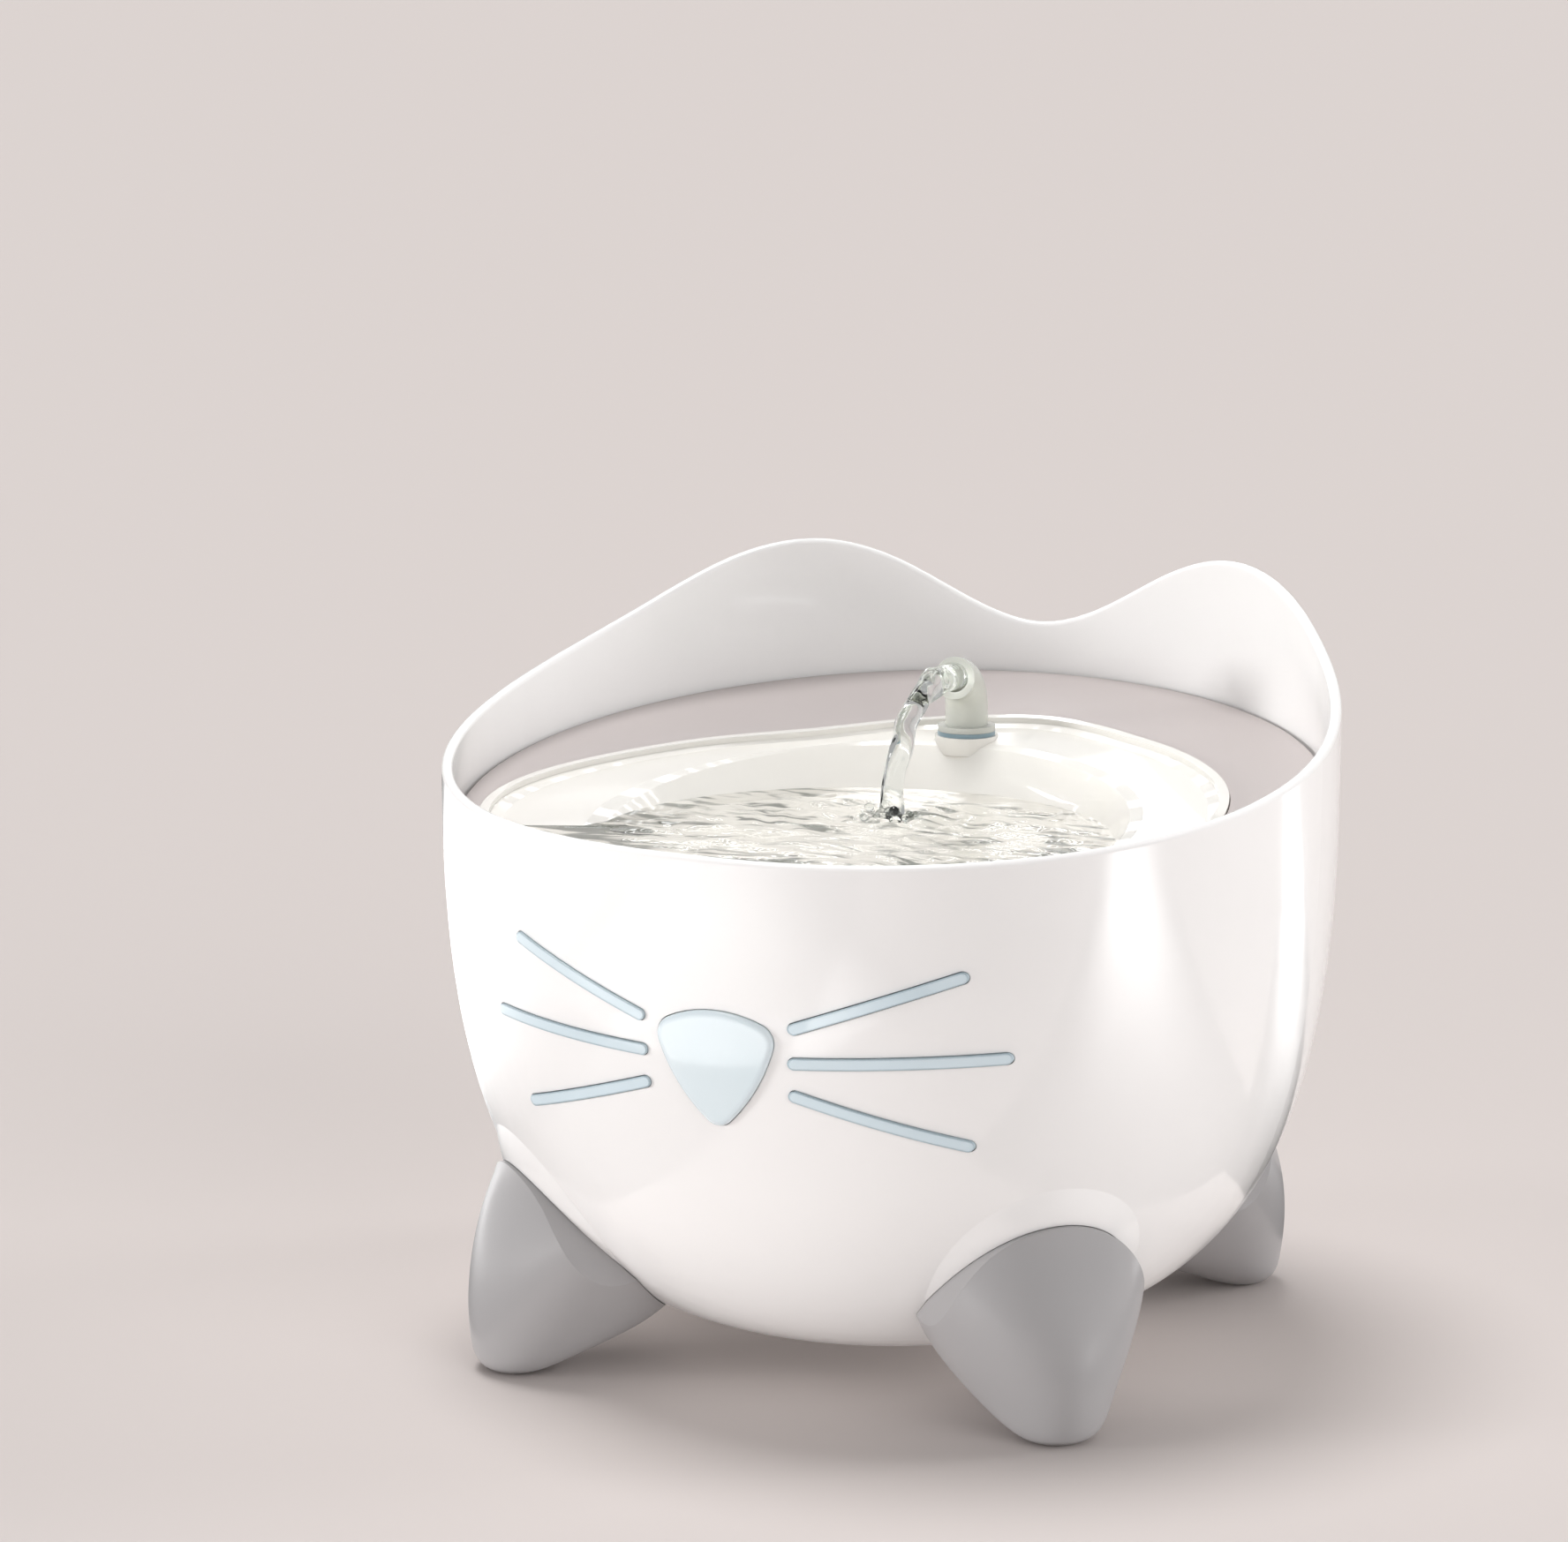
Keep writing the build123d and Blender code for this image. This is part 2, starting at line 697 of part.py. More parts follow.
def spout():
    """The frosted spout: a stem, a flange and a tube that bends to the front."""
    base = spout_base() + spout_seal_thickness
    start = Plane((0, spout_place, base))
    rise = Line((0, spout_place, base), (0, spout_place, base + spout_straight))
    top = base + spout_straight
    turn = math.radians(spout_bend_angle)

    def on_bend(share):
        y = spout_place - spout_bend * (1 - math.cos(turn * share))
        return (0, y, top + spout_bend * math.sin(turn * share))

    bend = ThreePointArc(on_bend(0), on_bend(0.5), on_bend(1))
    tip = on_bend(1)
    nozzle_end = (0, tip[1] - spout_nozzle * math.sin(turn), tip[2] + spout_nozzle * math.cos(turn))
    path = rise + bend + Line(tip, nozzle_end)
    tube = sweep(start * Circle(spout_radius), path)
    spot = Pos(0, spout_place)
    shape = tube + along_z(spot * Circle(spout_flange_radius), base, base + spout_flange)
    shape += along_z(spot * Circle(spout_stem_radius), base - spout_stem, base)
    shape -= sweep(start * Circle(spout_bore), path)
    shape -= along_z(spot * Circle(spout_bore), base - spout_stem - 1, base)
    return shape


def spout_seal():
    face = Circle(spout_flange_radius) - Circle(spout_stem_radius + press_skin)
    return along_z(Pos(0, spout_place) * face, spout_base(), spout_base() + spout_seal_thickness)


def riser_tube():
    """The pipe from the pump's spigot to a cup that the spout's stem slides into."""
    spot = Pos(0, spout_place)
    top = spout_base() - dish_wall - collar_depth - riser_top_gap
    bottom = spigot_top - riser_grip
    cup_bottom = top - riser_cup_depth
    pipe = along_z(spot * Circle(riser_radius), bottom, top)
    pipe += along_z(spot * Circle(riser_cup_radius), cup_bottom, top)
    pipe += along_z(spot * Circle(spigot_radius + riser_socket_wall), bottom, spigot_top + riser_socket_end)
    pipe -= along_z(spot * Circle(riser_bore), bottom - 1, top + 1)
    pipe -= along_z(spot * Circle(spout_stem_radius + slide_gap), cup_bottom + riser_cup_floor, top + 1)
    pipe -= along_z(spot * Circle(spigot_radius + press_skin), bottom - 1, spigot_top)
    return pipe


def at_axis(sketch):
    return Pos(0, pump_axis_height) * sketch


def pump_housing():
    """The potted motor housing with a blind well for the rotor."""
    outline = at_axis(RectangleRounded(2 * pump_half_width, 2 * pump_half_height, pump_corner))
    body = along_y(outline, pump_front, pump_back)
    body = chamfer(body.faces().sort_by(Axis.Y)[0].edges(), pump_edge)
    body -= along_y(at_axis(Circle(rotor_well_radius)), pump_back - rotor_well_depth, pump_back + 1)
    lamp = Pos(0, pump_axis_height + led_rise) * Circle(led_radius + press_skin)
    body -= along_y(lamp, pump_front - 1, pump_front + led_depth)
    for x, y in cup_places():
        hole = Pos(x, y) * Circle(cup_stem_radius)
        body -= along_z(hole, 0, pump_axis_height - pump_half_height + cup_stem_grip + 0.2)
    hole = Pos(*cable_exit) * Circle(cable_radius + screw_play)
    body -= along_z(hole, pump_axis_height + pump_half_height - cable_root, inlet_height)
    return body


def pump_cover():
    """The volute: a round chamber with a spigot on top and a spidered intake."""
    back = pump_back + volute_depth
    body = along_y(at_axis(Circle(volute_radius)), pump_back, back)
    spot = Pos(0, spout_place)
    body += along_z(spot * Circle(spigot_radius), pump_axis_height + impeller_radius, spigot_top)
    body -= along_y(at_axis(Circle(volute_radius - volute_wall)), pump_back - 1, back - volute_wall)
    body -= along_z(spot * Circle(spigot_bore), pump_axis_height + impeller_radius - 1, spigot_top + 1)
    body -= along_y(at_axis(Circle(intake_radius)), back - volute_wall - 1, back + 1)
    arms = Circle(bushing_radius + 1)
    for turn in (90, 210, 330):
        arms += Rot(0, 0, turn) * Pos(intake_radius / 2, 0) * Rectangle(intake_radius + 1, intake_arm)
    arms -= Circle(bushing_radius)
    body += along_y(at_axis(arms), back - volute_wall, back)
    collar = Circle(lever_collar) - Circle(intake_radius)
    body += along_y(at_axis(collar), back, back + lever_thickness + 2 * lever_clearance)
    return body


def rotor_shaft():
    return along_y(at_axis(Circle(shaft_radius)), pump_back - rotor_well_depth, pump_back + volute_depth)


def bushing(front):
    """A rubber bush that holds one end of the shaft."""
    face = at_axis(Circle(bushing_radius) - Circle(shaft_radius))
    return along_y(face, front, front + bushing_length)


def rotor_magnet():
    back = pump_back - magnet_gap
    tube = Circle(magnet_radius) - Circle(impeller_sleeve)
    return along_y(at_axis(tube), back - magnet_length, back)


def impeller():
    """Hub, six curved blades and a back plate, on a sleeve through the magnet."""
    front, back = pump_back + impeller_gap, pump_back + impeller_gap + impeller_width
    plate_back = front + impeller_plate
    wheel = along_y(at_axis(Circle(impeller_hub)), front, back)
    wheel += along_y(at_axis(Circle(impeller_radius)), front, plate_back)
    wheel += along_y(at_axis(Circle(impeller_sleeve)), pump_back - magnet_gap - magnet_length, front)
    start, end = impeller_hub - 1, impeller_radius - 0.4
    blade = trace(ThreePointArc((start, 0), ((start + end) / 2, impeller_sweep), (end, 0)), impeller_plate)
    blades = Sketch() + [Rot(0, 0, 360 / impeller_blades * k) * blade for k in range(impeller_blades)]
    wheel += along_y(at_axis(blades & Circle(impeller_radius)), plate_back, back)
    wheel -= along_y(at_axis(Circle(shaft_radius + shaft_play)), 0, back + 1)
    return wheel


def flow_lever():
    """The ring that closes the intake windows, with a finger tab at its side."""
    front = pump_back + volute_depth + lever_clearance
    length, height = lever_tab
    tab = Pos(lever_radius + length / 2 - 2, 0) * RectangleRounded(length, height, height / 4)
    face = Circle(lever_radius) + tab - Circle(lever_collar + slide_gap)
    place = (lever_radius + lever_collar + slide_gap) / 2
    holes = [Rot(0, 0, turn) * Pos(place, 0) * Circle(lever_hole_radius) for turn in (60, 180, 300)]
    return along_y(at_axis(face - (Sketch() + holes)), front, front + lever_thickness)


def intake_cage():
    """The slotted strainer that snaps over the intake and keeps the flow lever in."""
    front = pump_back + volute_depth + lever_thickness + 2 * lever_clearance
    back = front + cage_depth
    body = along_y(at_axis(Circle(cage_radius)), front, back)
    body = chamfer(body.faces().sort_by(Axis.Y)[-1].edges(), cage_wall)
    body -= along_y(at_axis(Circle(cage_radius - cage_wall)), front + cage_wall, back - cage_wall)
    body -= along_y(at_axis(Circle(intake_radius - cage_mouth_lip)), front - 1, front + cage_wall + 1)
    slot = Pos(cage_slot_place, 0) * Rectangle(cage_slot_length, cage_wall)
    slots = [Rot(0, 0, 360 / cage_slots * k) * slot for k in range(cage_slots)]
    body -= along_y(at_axis(Sketch() + slots), front + 2 * cage_wall, back + 1)
    return body


def cup_places():
    """Where the pump's four suction cups stand."""
    front = pump_front + cup_inset
    reach = pump_half_width - cup_inset
    return [(x, y) for x in (-reach, reach) for y in (front, front + cup_pitch)]


def suction_cups():
    """Four cups that hold the pump to the reservoir's floor."""
    floor, pump_bottom = base_height + wall, pump_axis_height - pump_half_height
    profile = make_face(
        Polyline(
            (0, floor + cup_hollow),
            (cup_radius, floor),
            (cup_radius, floor + cup_lip),
            (cup_neck_radius, floor + cup_dome),
            (cup_neck_radius, pump_bottom),
            (cup_stem_radius, pump_bottom),
            (cup_stem_radius, pump_bottom + cup_stem_grip),
            (0, pump_bottom + cup_stem_grip),
            close=True,
        )
    )
    cup = revolve(Plane.XZ * profile, Axis.Z)
    return Compound([Pos(x, y) * cup for x, y in cup_places()])


def indicator_led():
    """The lamp in the pump's front face, which lights the nose from behind."""
    face = Pos(0, pump_axis_height + led_rise) * Circle(led_radius)
    lamp = along_y(face, pump_front - led_proud, pump_front + led_depth)
    return fillet(lamp.faces().sort_by(Axis.Y)[0].edges(), led_radius * 0.55)


def inlet_at(sketch):
    return Pos(0, inlet_height) * sketch


def power_inlet():
    """The round socket in the back wall, flush in its recess."""
    outer = inlet_recess_floor + inlet_flange
    bottom = outer - inlet_bore_depth
    body = along_y(inlet_at(Circle(inlet_radius)), inlet_rear, inlet_recess_floor)
    body += along_y(inlet_at(Circle(inlet_flange_radius)), inlet_recess_floor, outer)
    body -= along_y(inlet_at(Circle(inlet_bore)), bottom, outer + 1)
    body -= along_y(inlet_at(Circle(inlet_pin_radius)), bottom - inlet_pin_root, outer)
    body -= along_y(inlet_at(Circle(cable_radius + screw_play)), inlet_rear - 1, inlet_rear + cable_grip)
    return body


def inlet_pin():
    outer = inlet_recess_floor + inlet_flange
    start = outer - inlet_bore_depth - inlet_pin_root
    pin = along_y(inlet_at(Circle(inlet_pin_radius)), start, outer - inlet_pin_short)
    return fillet(pin.faces().sort_by(Axis.Y)[-1].edges(), inlet_pin_radius / 2)


def inlet_nut_piece():
    nut = RegularPolygon(inlet_nut_flats / 2, 6, major_radius=False) - Circle(inlet_radius)
    return along_y(inlet_at(nut), inlet_pad - inlet_seal - inlet_nut, inlet_pad - inlet_seal)


def inlet_seal_ring():
    face = Circle(inlet_flange_radius) - Circle(inlet_radius)
    return along_y(inlet_at(face), inlet_pad - inlet_seal, inlet_pad)


def pump_cable():
    """The lead inside the bowl, from the pump's top to the inlet."""
    x, y = cable_exit
    end = inlet_rear + cable_grip
    turn = end - cable_straight
    points = [
        (x, y, pump_axis_height + pump_half_height - cable_root),
        (x, y, inlet_height - cable_dip - cable_rise),
        (x, turn - cable_back, inlet_height - cable_dip),
        (0, turn, inlet_height),
        (0, end, inlet_height),
    ]
    path = FilletPolyline(*points, radius=cable_bend)
    return sweep(Plane(points[0]) * Circle(cable_radius), path)


def filter_plan(shrink):
    width, depth = 2 * filter_half_width, filter_back - filter_front
    box = RectangleRounded(width - 2 * shrink, depth - 2 * shrink, max(filter_corner - shrink, 1))
    return Pos(0, (filter_front + filter_back) / 2) * box


def filter_slots(count, length):
    """A row of slots across the filter."""
    pitch = 2 * (filter_half_width - filter_margin) / count
    middle = (filter_front + filter_back) / 2
    slots = Sketch()
    for index in range(count):
        x = (index - (count - 1) / 2) * pitch
        slots += Pos(x, middle) * Rectangle(pitch * filter_slot_share, length)
    return slots


def filter_holder():
    """The slotted basket that hangs under the dish, with four screwed ears."""
    basket = along_z(filter_plan(0), filter_bottom, filter_top)
    ears = Sketch()
    for x, y in holder_posts:
        ears += Pos(x, y) * Circle(holder_post_radius + holder_ear_rim)
        middle = math.copysign((filter_half_width - filter_wall + holder_reach) / 2, x)
        ears += Pos(middle, y) * Rectangle(holder_reach - filter_half_width + filter_wall, 2 * holder_post_radius)
    basket += along_z(ears, filter_top - holder_ear, filter_top)
    basket -= along_z(filter_plan(filter_wall), filter_bottom + filter_wall, filter_top + 1)
    slots = filter_slots(filter_slot_count, basket_slot_length)
    basket -= along_z(slots, filter_bottom - 1, filter_bottom + filter_wall + 1)
    for x, y in holder_posts:
        hole = Pos(x, y) * Circle(holder_screw_radius + screw_play)
        basket -= along_z(hole, filter_top - holder_ear - 1, filter_top + 1)
    return basket


def filter_cartridge():
    bottom = filter_bottom + filter_wall
    pad = along_z(filter_plan(filter_wall + filter_play), bottom, bottom + cartridge_height)
    return chamfer(pad.faces().sort_by(Axis.Z)[-1].edges(), cartridge_chamfer)


def filter_cover():
    bottom = filter_bottom + filter_wall + cartridge_height
    face = filter_plan(filter_wall + cover_play) - filter_slots(filter_slot_count, cover_slot_length)
    return along_z(face, bottom, bottom + cover_thickness)


def holder_screws():
    seat = filter_top - holder_ear
    screws = []
    for x, y in holder_posts:
        spot = Pos(x, y)
        screw = along_z(spot * Circle(holder_screw_head_radius), seat - holder_screw_head, seat)
        screws.append(screw + along_z(spot * Circle(holder_screw_radius), seat, filter_top + holder_screw_bite))
    return Compound(screws)


def write(name, shape):
    """Writes one named sub-part."""
    export_step(shape, f"parts/{name}.step")


def main():
    os.makedirs("parts", exist_ok=True)
    write("reservoir_bowl", reservoir_bowl())
    write("nose_lens", nose_lens())
    write("whisker_window", whisker_window())
    write("face_gasket", face_gasket())
    front_foot, front_screw = foot(), foot_screw()
    for name, angle in foot_angles.items():
        write(f"foot_{name}", Rot(0, 0, angle) * front_foot)
    write("foot_screws", Compound([Rot(0, 0, angle) * front_screw for angle in foot_angles.values()]))
    write("power_inlet", power_inlet())
    write("inlet_pin", inlet_pin())
    write("inlet_nut", inlet_nut_piece())
    write("inlet_seal", inlet_seal_ring())
    write("pump_housing", pump_housing())
    write("pump_cover", pump_cover())
    write("rotor_shaft", rotor_shaft())
    write("rear_bushing", bushing(pump_back - rotor_well_depth))
    write("front_bushing", bushing(pump_back + volute_depth - bushing_length))
    write("intake_cage", intake_cage())
    write("suction_cups", suction_cups())
    write("indicator_led", indicator_led())
    write("pump_cable", pump_cable())
    write("riser_tube", riser_tube())
    write("impeller", impeller())
    write("rotor_magnet", rotor_magnet())
    write("flow_lever", flow_lever())
    write("tray_frame", tray_frame())
    write("drinking_dish", drinking_dish())
    write("filter_holder", filter_holder())
    write("filter_cartridge", filter_cartridge())
    write("filter_cover", filter_cover())
    write("holder_screws", holder_screws())
    write("spout", spout())
    write("spout_seal", spout_seal())


if __name__ == "__main__":
    main()
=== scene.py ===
"""Dresses a pet water fountain: moulded and clear plastics, running water, floor, light and camera.

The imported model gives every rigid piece.  This script gives each one its finish, adds the water and
the soft filter pad, and sets up a plain studio.  Lengths are metres, +Z is up, the nose points to -Y.
"""

import json
import logging
import math
import random
from dataclasses import dataclass, field, replace
from enum import Enum
from typing import Any

import bmesh
import bpy
from mathutils import Matrix, Vector, noise
from mathutils.bvhtree import BVHTree

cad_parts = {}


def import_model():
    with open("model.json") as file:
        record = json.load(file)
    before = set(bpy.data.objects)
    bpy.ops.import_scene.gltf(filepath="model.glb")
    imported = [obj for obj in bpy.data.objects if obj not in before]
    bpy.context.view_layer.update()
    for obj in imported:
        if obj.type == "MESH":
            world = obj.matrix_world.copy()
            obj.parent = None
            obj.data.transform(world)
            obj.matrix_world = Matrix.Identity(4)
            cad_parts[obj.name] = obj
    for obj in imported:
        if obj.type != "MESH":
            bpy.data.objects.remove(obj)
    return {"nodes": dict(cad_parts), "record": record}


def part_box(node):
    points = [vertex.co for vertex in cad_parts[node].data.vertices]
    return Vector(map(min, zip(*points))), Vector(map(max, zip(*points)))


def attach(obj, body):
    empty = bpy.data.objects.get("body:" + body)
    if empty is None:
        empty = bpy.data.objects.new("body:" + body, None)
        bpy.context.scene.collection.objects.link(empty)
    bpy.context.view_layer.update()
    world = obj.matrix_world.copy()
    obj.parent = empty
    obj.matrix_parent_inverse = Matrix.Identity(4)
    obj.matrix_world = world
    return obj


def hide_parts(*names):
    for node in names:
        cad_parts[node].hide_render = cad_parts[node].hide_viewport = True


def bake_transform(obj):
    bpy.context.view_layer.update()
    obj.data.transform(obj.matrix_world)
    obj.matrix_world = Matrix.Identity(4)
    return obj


MM = 0.001
NOISE_SEED = 5  # without a seed the noise vectors follow the clock, and the water changes each run

# A mix node repeats its socket names for each kind of value, so its colour sockets go by number.
MIX_FIRST, MIX_SECOND, MIX_RESULT = 6, 7, 2
CLOUD_DETAIL = 2.0
CLOUD_LOW, CLOUD_HIGH = 0.3, 0.7  # noise levels between which the roughness runs its whole range
EDGE_SAMPLES = 4
# The cosine between the true and the rounded normal at which the painted edge shade begins, and is full.
EDGE_BEGINS, EDGE_FULL = 0.99, 0.86
BRUSH_STRETCH = 0.05  # scale of a brushed grain along its lines against that across them
POLISHED_DETAIL, ROUGH_DETAIL = 1.0, 4.0
WATER_IOR = 1.333

Material = bpy.types.Material
Piece = bpy.types.Object
Socket = bpy.types.NodeSocket
Tree = bpy.types.NodeTree

log = logging.getLogger("fountain")


def linear(colour: str) -> tuple[float, float, float, float]:
    """Turns an sRGB hex colour into linear light.

    Args:
        colour: Six hex digits after a hash sign.

    Returns:
        Red, green and blue in linear light, and an alpha of one.
    """
    parts = [int(colour[place : place + 2], 16) / 255 for place in (1, 3, 5)]
    light = [part / 12.92 if part <= 0.04045 else ((part + 0.055) / 1.055) ** 2.4 for part in parts]
    return (*light, 1.0)


def add_node(tree: Tree, kind: str, inputs: dict[Any, Any] | None = None, **settings: Any) -> Any:
    """Adds one node with its settings, values and links.

    Args:
        tree: The node tree that gets the node.
        kind: The node's type.
        inputs: A value, or another node's output, by input name or number.
        settings: The node's own attributes.

    Returns:
        The new node.
    """
    node = tree.nodes.new(kind)
    for name, value in settings.items():
        setattr(node, name, value)
    for name, value in (inputs or {}).items():
        if isinstance(value, bpy.types.NodeSocket):
            tree.links.new(value, node.inputs[name])
        else:
            node.inputs[name].default_value = value
    return node


def add_place(tree: Tree) -> Socket:
    """Adds the object coordinates."""
    return add_node(tree, "ShaderNodeTexCoord").outputs["Object"]


def add_noise(tree: Tree, place: Socket, size: float, detail: float, distortion: float = 0.0) -> Socket:
    """Adds a noise pattern.

    Args:
        tree: The node tree.
        place: The coordinates that it lies on.
        size: The spacing of its features.
        detail: How much finer noise it carries.
        distortion: How much it swirls.

    Returns:
        The pattern's level, from nought to one.
    """
    inputs = {"Vector": place, "Scale": 1 / size, "Detail": detail, "Distortion": distortion}
    return add_node(tree, "ShaderNodeTexNoise", inputs).outputs["Fac"]


def add_ramp(
    tree: Tree,
    value: Socket,
    start: float,
    stop: float,
    bottom: float = 0.0,
    top: float = 1.0,
    smooth: bool = False,
) -> Socket:
    """Adds a ramp that is held at its two ends.

    Args:
        tree: The node tree.
        value: What the ramp follows.
        start: The value at its bottom.
        stop: The value at its top.
        bottom: What it gives at the bottom.
        top: What it gives at the top.
        smooth: Whether it eases in and out.

    Returns:
        The ramp's result.
    """
    inputs = {"Value": value, "From Min": start, "From Max": stop, "To Min": bottom, "To Max": top}
    curve = "SMOOTHSTEP" if smooth else "LINEAR"
    return add_node(tree, "ShaderNodeMapRange", inputs, interpolation_type=curve).outputs["Result"]


def add_math(tree: Tree, operation: str, *values: Any) -> Socket:
    """Adds one calculation with numbers or sockets."""
    return add_node(tree, "ShaderNodeMath", dict(enumerate(values)), operation=operation).outputs["Value"]


def add_mix(tree: Tree, share: Socket, first: Any, second: Any) -> Socket:
    """Adds a mix of two colours.

    Args:
        tree: The node tree.
        share: How much of the second colour shows.
        first: The first colour, or another node's output.
        second: The second colour, or another node's output.

    Returns:
        The mixed colour.
    """
    inputs = {"Factor": share, MIX_FIRST: first, MIX_SECOND: second}
    return add_node(tree, "ShaderNodeMix", inputs, data_type="RGBA").outputs[MIX_RESULT]


def add_surface(tree: Tree, surface: Socket) -> None:
    """Adds the output that gives the material its surface."""
    add_node(tree, "ShaderNodeOutputMaterial", {"Surface": surface})


def blank_material(name: str) -> Material:
    """Makes a material without any nodes."""
    material = bpy.data.materials.new(name)
    material.use_nodes = True
    material.node_tree.nodes.clear()
    return material


def hide_from(thing: Piece, *rays: str) -> None:
    """Keeps an object from rays of the named kinds, such as camera, diffuse, glossy or shadow."""
    for ray in rays:
        setattr(thing, f"visible_{ray}", False)


def grow_ring(
    mesh: bmesh.types.BMesh, edges: list[bmesh.types.BMEdge]
) -> tuple[list[bmesh.types.BMVert], list[bmesh.types.BMEdge]]:
    """Extrudes a ring of edges on the spot.

    Args:
        mesh: The mesh that grows.
        edges: The ring that it grows from.

    Returns:
        The new ring's corners and its edges.
    """
    grown = bmesh.ops.extrude_edge_only(mesh, edges=edges)["geom"]
    corners = [item for item in grown if isinstance(item, bmesh.types.BMVert)]
    inside = set(corners)
    lines = (item for item in grown if isinstance(item, bmesh.types.BMEdge))
    return corners, [line for line in lines if all(corner in inside for corner in line.verts)]


class Grain(Enum):
    """How a surface was made, which sets the shape of its fine relief."""

    POLISHED = "polished mould"
    ERODED = "spark-eroded mould"
    BRUSHED = "drawn or turned"
    FELTED = "laid fibres"


@dataclass(frozen=True)
class Finish:
    """One real material and how its surface was made."""

    name: str
    colour: str
    shade: str  # the same material where it is a little thicker or duller
    roughness: float
    grain: Grain = Grain.POLISHED
    grain_size: float = 6.0 * MM  # spacing of the relief
    grain_depth: float = 0.004 * MM
    cloud_size: float = 45.0 * MM  # spacing of the slow change of colour
    roughness_spread: float = 0.04
    metallic: float = 0.0
    ior: float = 1.5
    transmission: float = 0.0
    subsurface: float = 0.0
    subsurface_radius: float = 1.0 * MM
    coat: float = 0.0
    coat_roughness: float = 0.03
    sheen: float = 0.0
    edge_round: float = 0.3 * MM  # radius that the mould leaves on every sharp edge
    painted_edge_shade: str = ""  # painted shade: a dark colour laid on the rounded edges, for dark surroundings seen in them

    def build(self) -> Material:
        """Makes the material's node tree.

        Returns:
            The finished material.
        """
        material = blank_material(self.name)
        tree = material.node_tree
        place = add_place(tree)
        clouds = add_noise(tree, place, self.cloud_size, CLOUD_DETAIL)
        colour = add_mix(tree, clouds, linear(self.colour), linear(self.shade))
        smoothest = max(self.roughness - self.roughness_spread, 0.0)
        roughest = self.roughness + self.roughness_spread
        wear = add_ramp(tree, clouds, CLOUD_LOW, CLOUD_HIGH, smoothest, roughest)
        bevel = add_node(tree, "ShaderNodeBevel", {"Radius": self.edge_round}, samples=EDGE_SAMPLES)
        rounded = bevel.outputs["Normal"]
        # painted shade: a dark line along the rounded edges
        if self.painted_edge_shade:
            colour = self.paint_edge_shade(tree, colour, rounded)
        relief = add_node(
            tree,
            "ShaderNodeBump",
            {
                "Height": self.relief(tree, place),
                "Distance": self.grain_depth,
                "Strength": 1.0,
                "Normal": rounded,
            },
        )
        shader = add_node(
            tree,
            "ShaderNodeBsdfPrincipled",
            {
                "Base Color": colour,
                "Roughness": wear,
                "Metallic": self.metallic,
                "IOR": self.ior,
                "Transmission Weight": self.transmission,
                "Subsurface Weight": self.subsurface,
                "Subsurface Scale": self.subsurface_radius,
                "Subsurface Radius": (1.0, 1.0, 1.0),
                "Coat Weight": self.coat,
                "Coat Roughness": self.coat_roughness,
                "Sheen Weight": self.sheen,
                "Normal": relief.outputs["Normal"],
            },
        )
        add_surface(tree, shader.outputs["BSDF"])
        return material

    def paint_edge_shade(self, tree: Tree, colour: Socket, rounded: Socket) -> Socket:
        """Paints shade on the colour at the rounded edges: a dark line that stands for the dark
        surroundings seen in a clear plastic's edge.

        Args:
            tree: The material's node tree.
            colour: The colour away from the edges.
            rounded: The normal with the edges rounded.

        Returns:
            The colour with its painted edge shade.
        """
        plain = add_node(tree, "ShaderNodeNewGeometry").outputs["Normal"]
        same = add_node(tree, "ShaderNodeVectorMath", {0: rounded, 1: plain}, operation="DOT_PRODUCT")
        share = add_ramp(tree, same.outputs["Value"], EDGE_BEGINS, EDGE_FULL)
        return add_mix(tree, share, colour, linear(self.painted_edge_shade))

    def relief(self, tree: Tree, place: Socket) -> Socket:
        """Adds the height pattern of the surface's grain.

        Args:
            tree: The material's node tree.
            place: The object coordinates.

        Returns:
            The pattern's height, from nought to one.
        """
        if self.grain is Grain.BRUSHED:
            scale = (1.0, BRUSH_STRETCH, 1.0)
            place = add_node(tree, "ShaderNodeMapping", {"Vector": place, "Scale": scale}).outputs["Vector"]
        if self.grain is Grain.FELTED:
            fibres = add_node(
                tree,
                "ShaderNodeTexVoronoi",
                {"Vector": place, "Scale": 1 / self.grain_size, "Randomness": 1.0},
                feature="DISTANCE_TO_EDGE",
            )
            return fibres.outputs["Distance"]
        detail = POLISHED_DETAIL if self.grain is Grain.POLISHED else ROUGH_DETAIL
        return add_noise(tree, place, self.grain_size, detail)


# Gloss ABS from a polished mould: a clear, slightly wavy highlight on an almost white body.
WHITE_ABS = Finish(
    "abs_gloss_white_moulded",
    "#FAF9F8",
    "#F7F5F4",
    roughness=0.14,
    grain_size=14 * MM,
    grain_depth=0.02 * MM,
    roughness_spread=0.03,
    subsurface=0.15,
    subsurface_radius=2.5 * MM,
    coat=0.35,
)
# Clear acrylic tinted pale blue: light runs inside it, and a darker line of painted shade lies along its
# rounded edge.
BLUE_ACRYLIC = Finish(
    "acrylic_pale_blue_moulded",
    "#EEF8FD",
    "#E6F4FB",
    roughness=0.05,
    grain_size=9 * MM,
    grain_depth=0.01 * MM,
    cloud_size=20 * MM,
    roughness_spread=0.02,
    ior=1.49,
    transmission=0.03,
    subsurface=0.2,
    subsurface_radius=1.5 * MM,
    coat=1.0,
    edge_round=1.5 * MM,
    # painted shade along the rounded edges
    painted_edge_shade="#8FA9B6",
)
# The same acrylic in narrow bars, painted darker: painted shade makes them look deeper blue than the nose,
# which is the same plastic.
SHADE_PAINTED_ACRYLIC_BARS = replace(
    BLUE_ACRYLIC,
    name="acrylic_pale_blue_bars_painted_shade",
    # painted shade: darker than the nose's colour
    colour="#DFEDF4",
    shade="#D5E6EF",
    coat=0.5,
    edge_round=0.8 * MM,
)
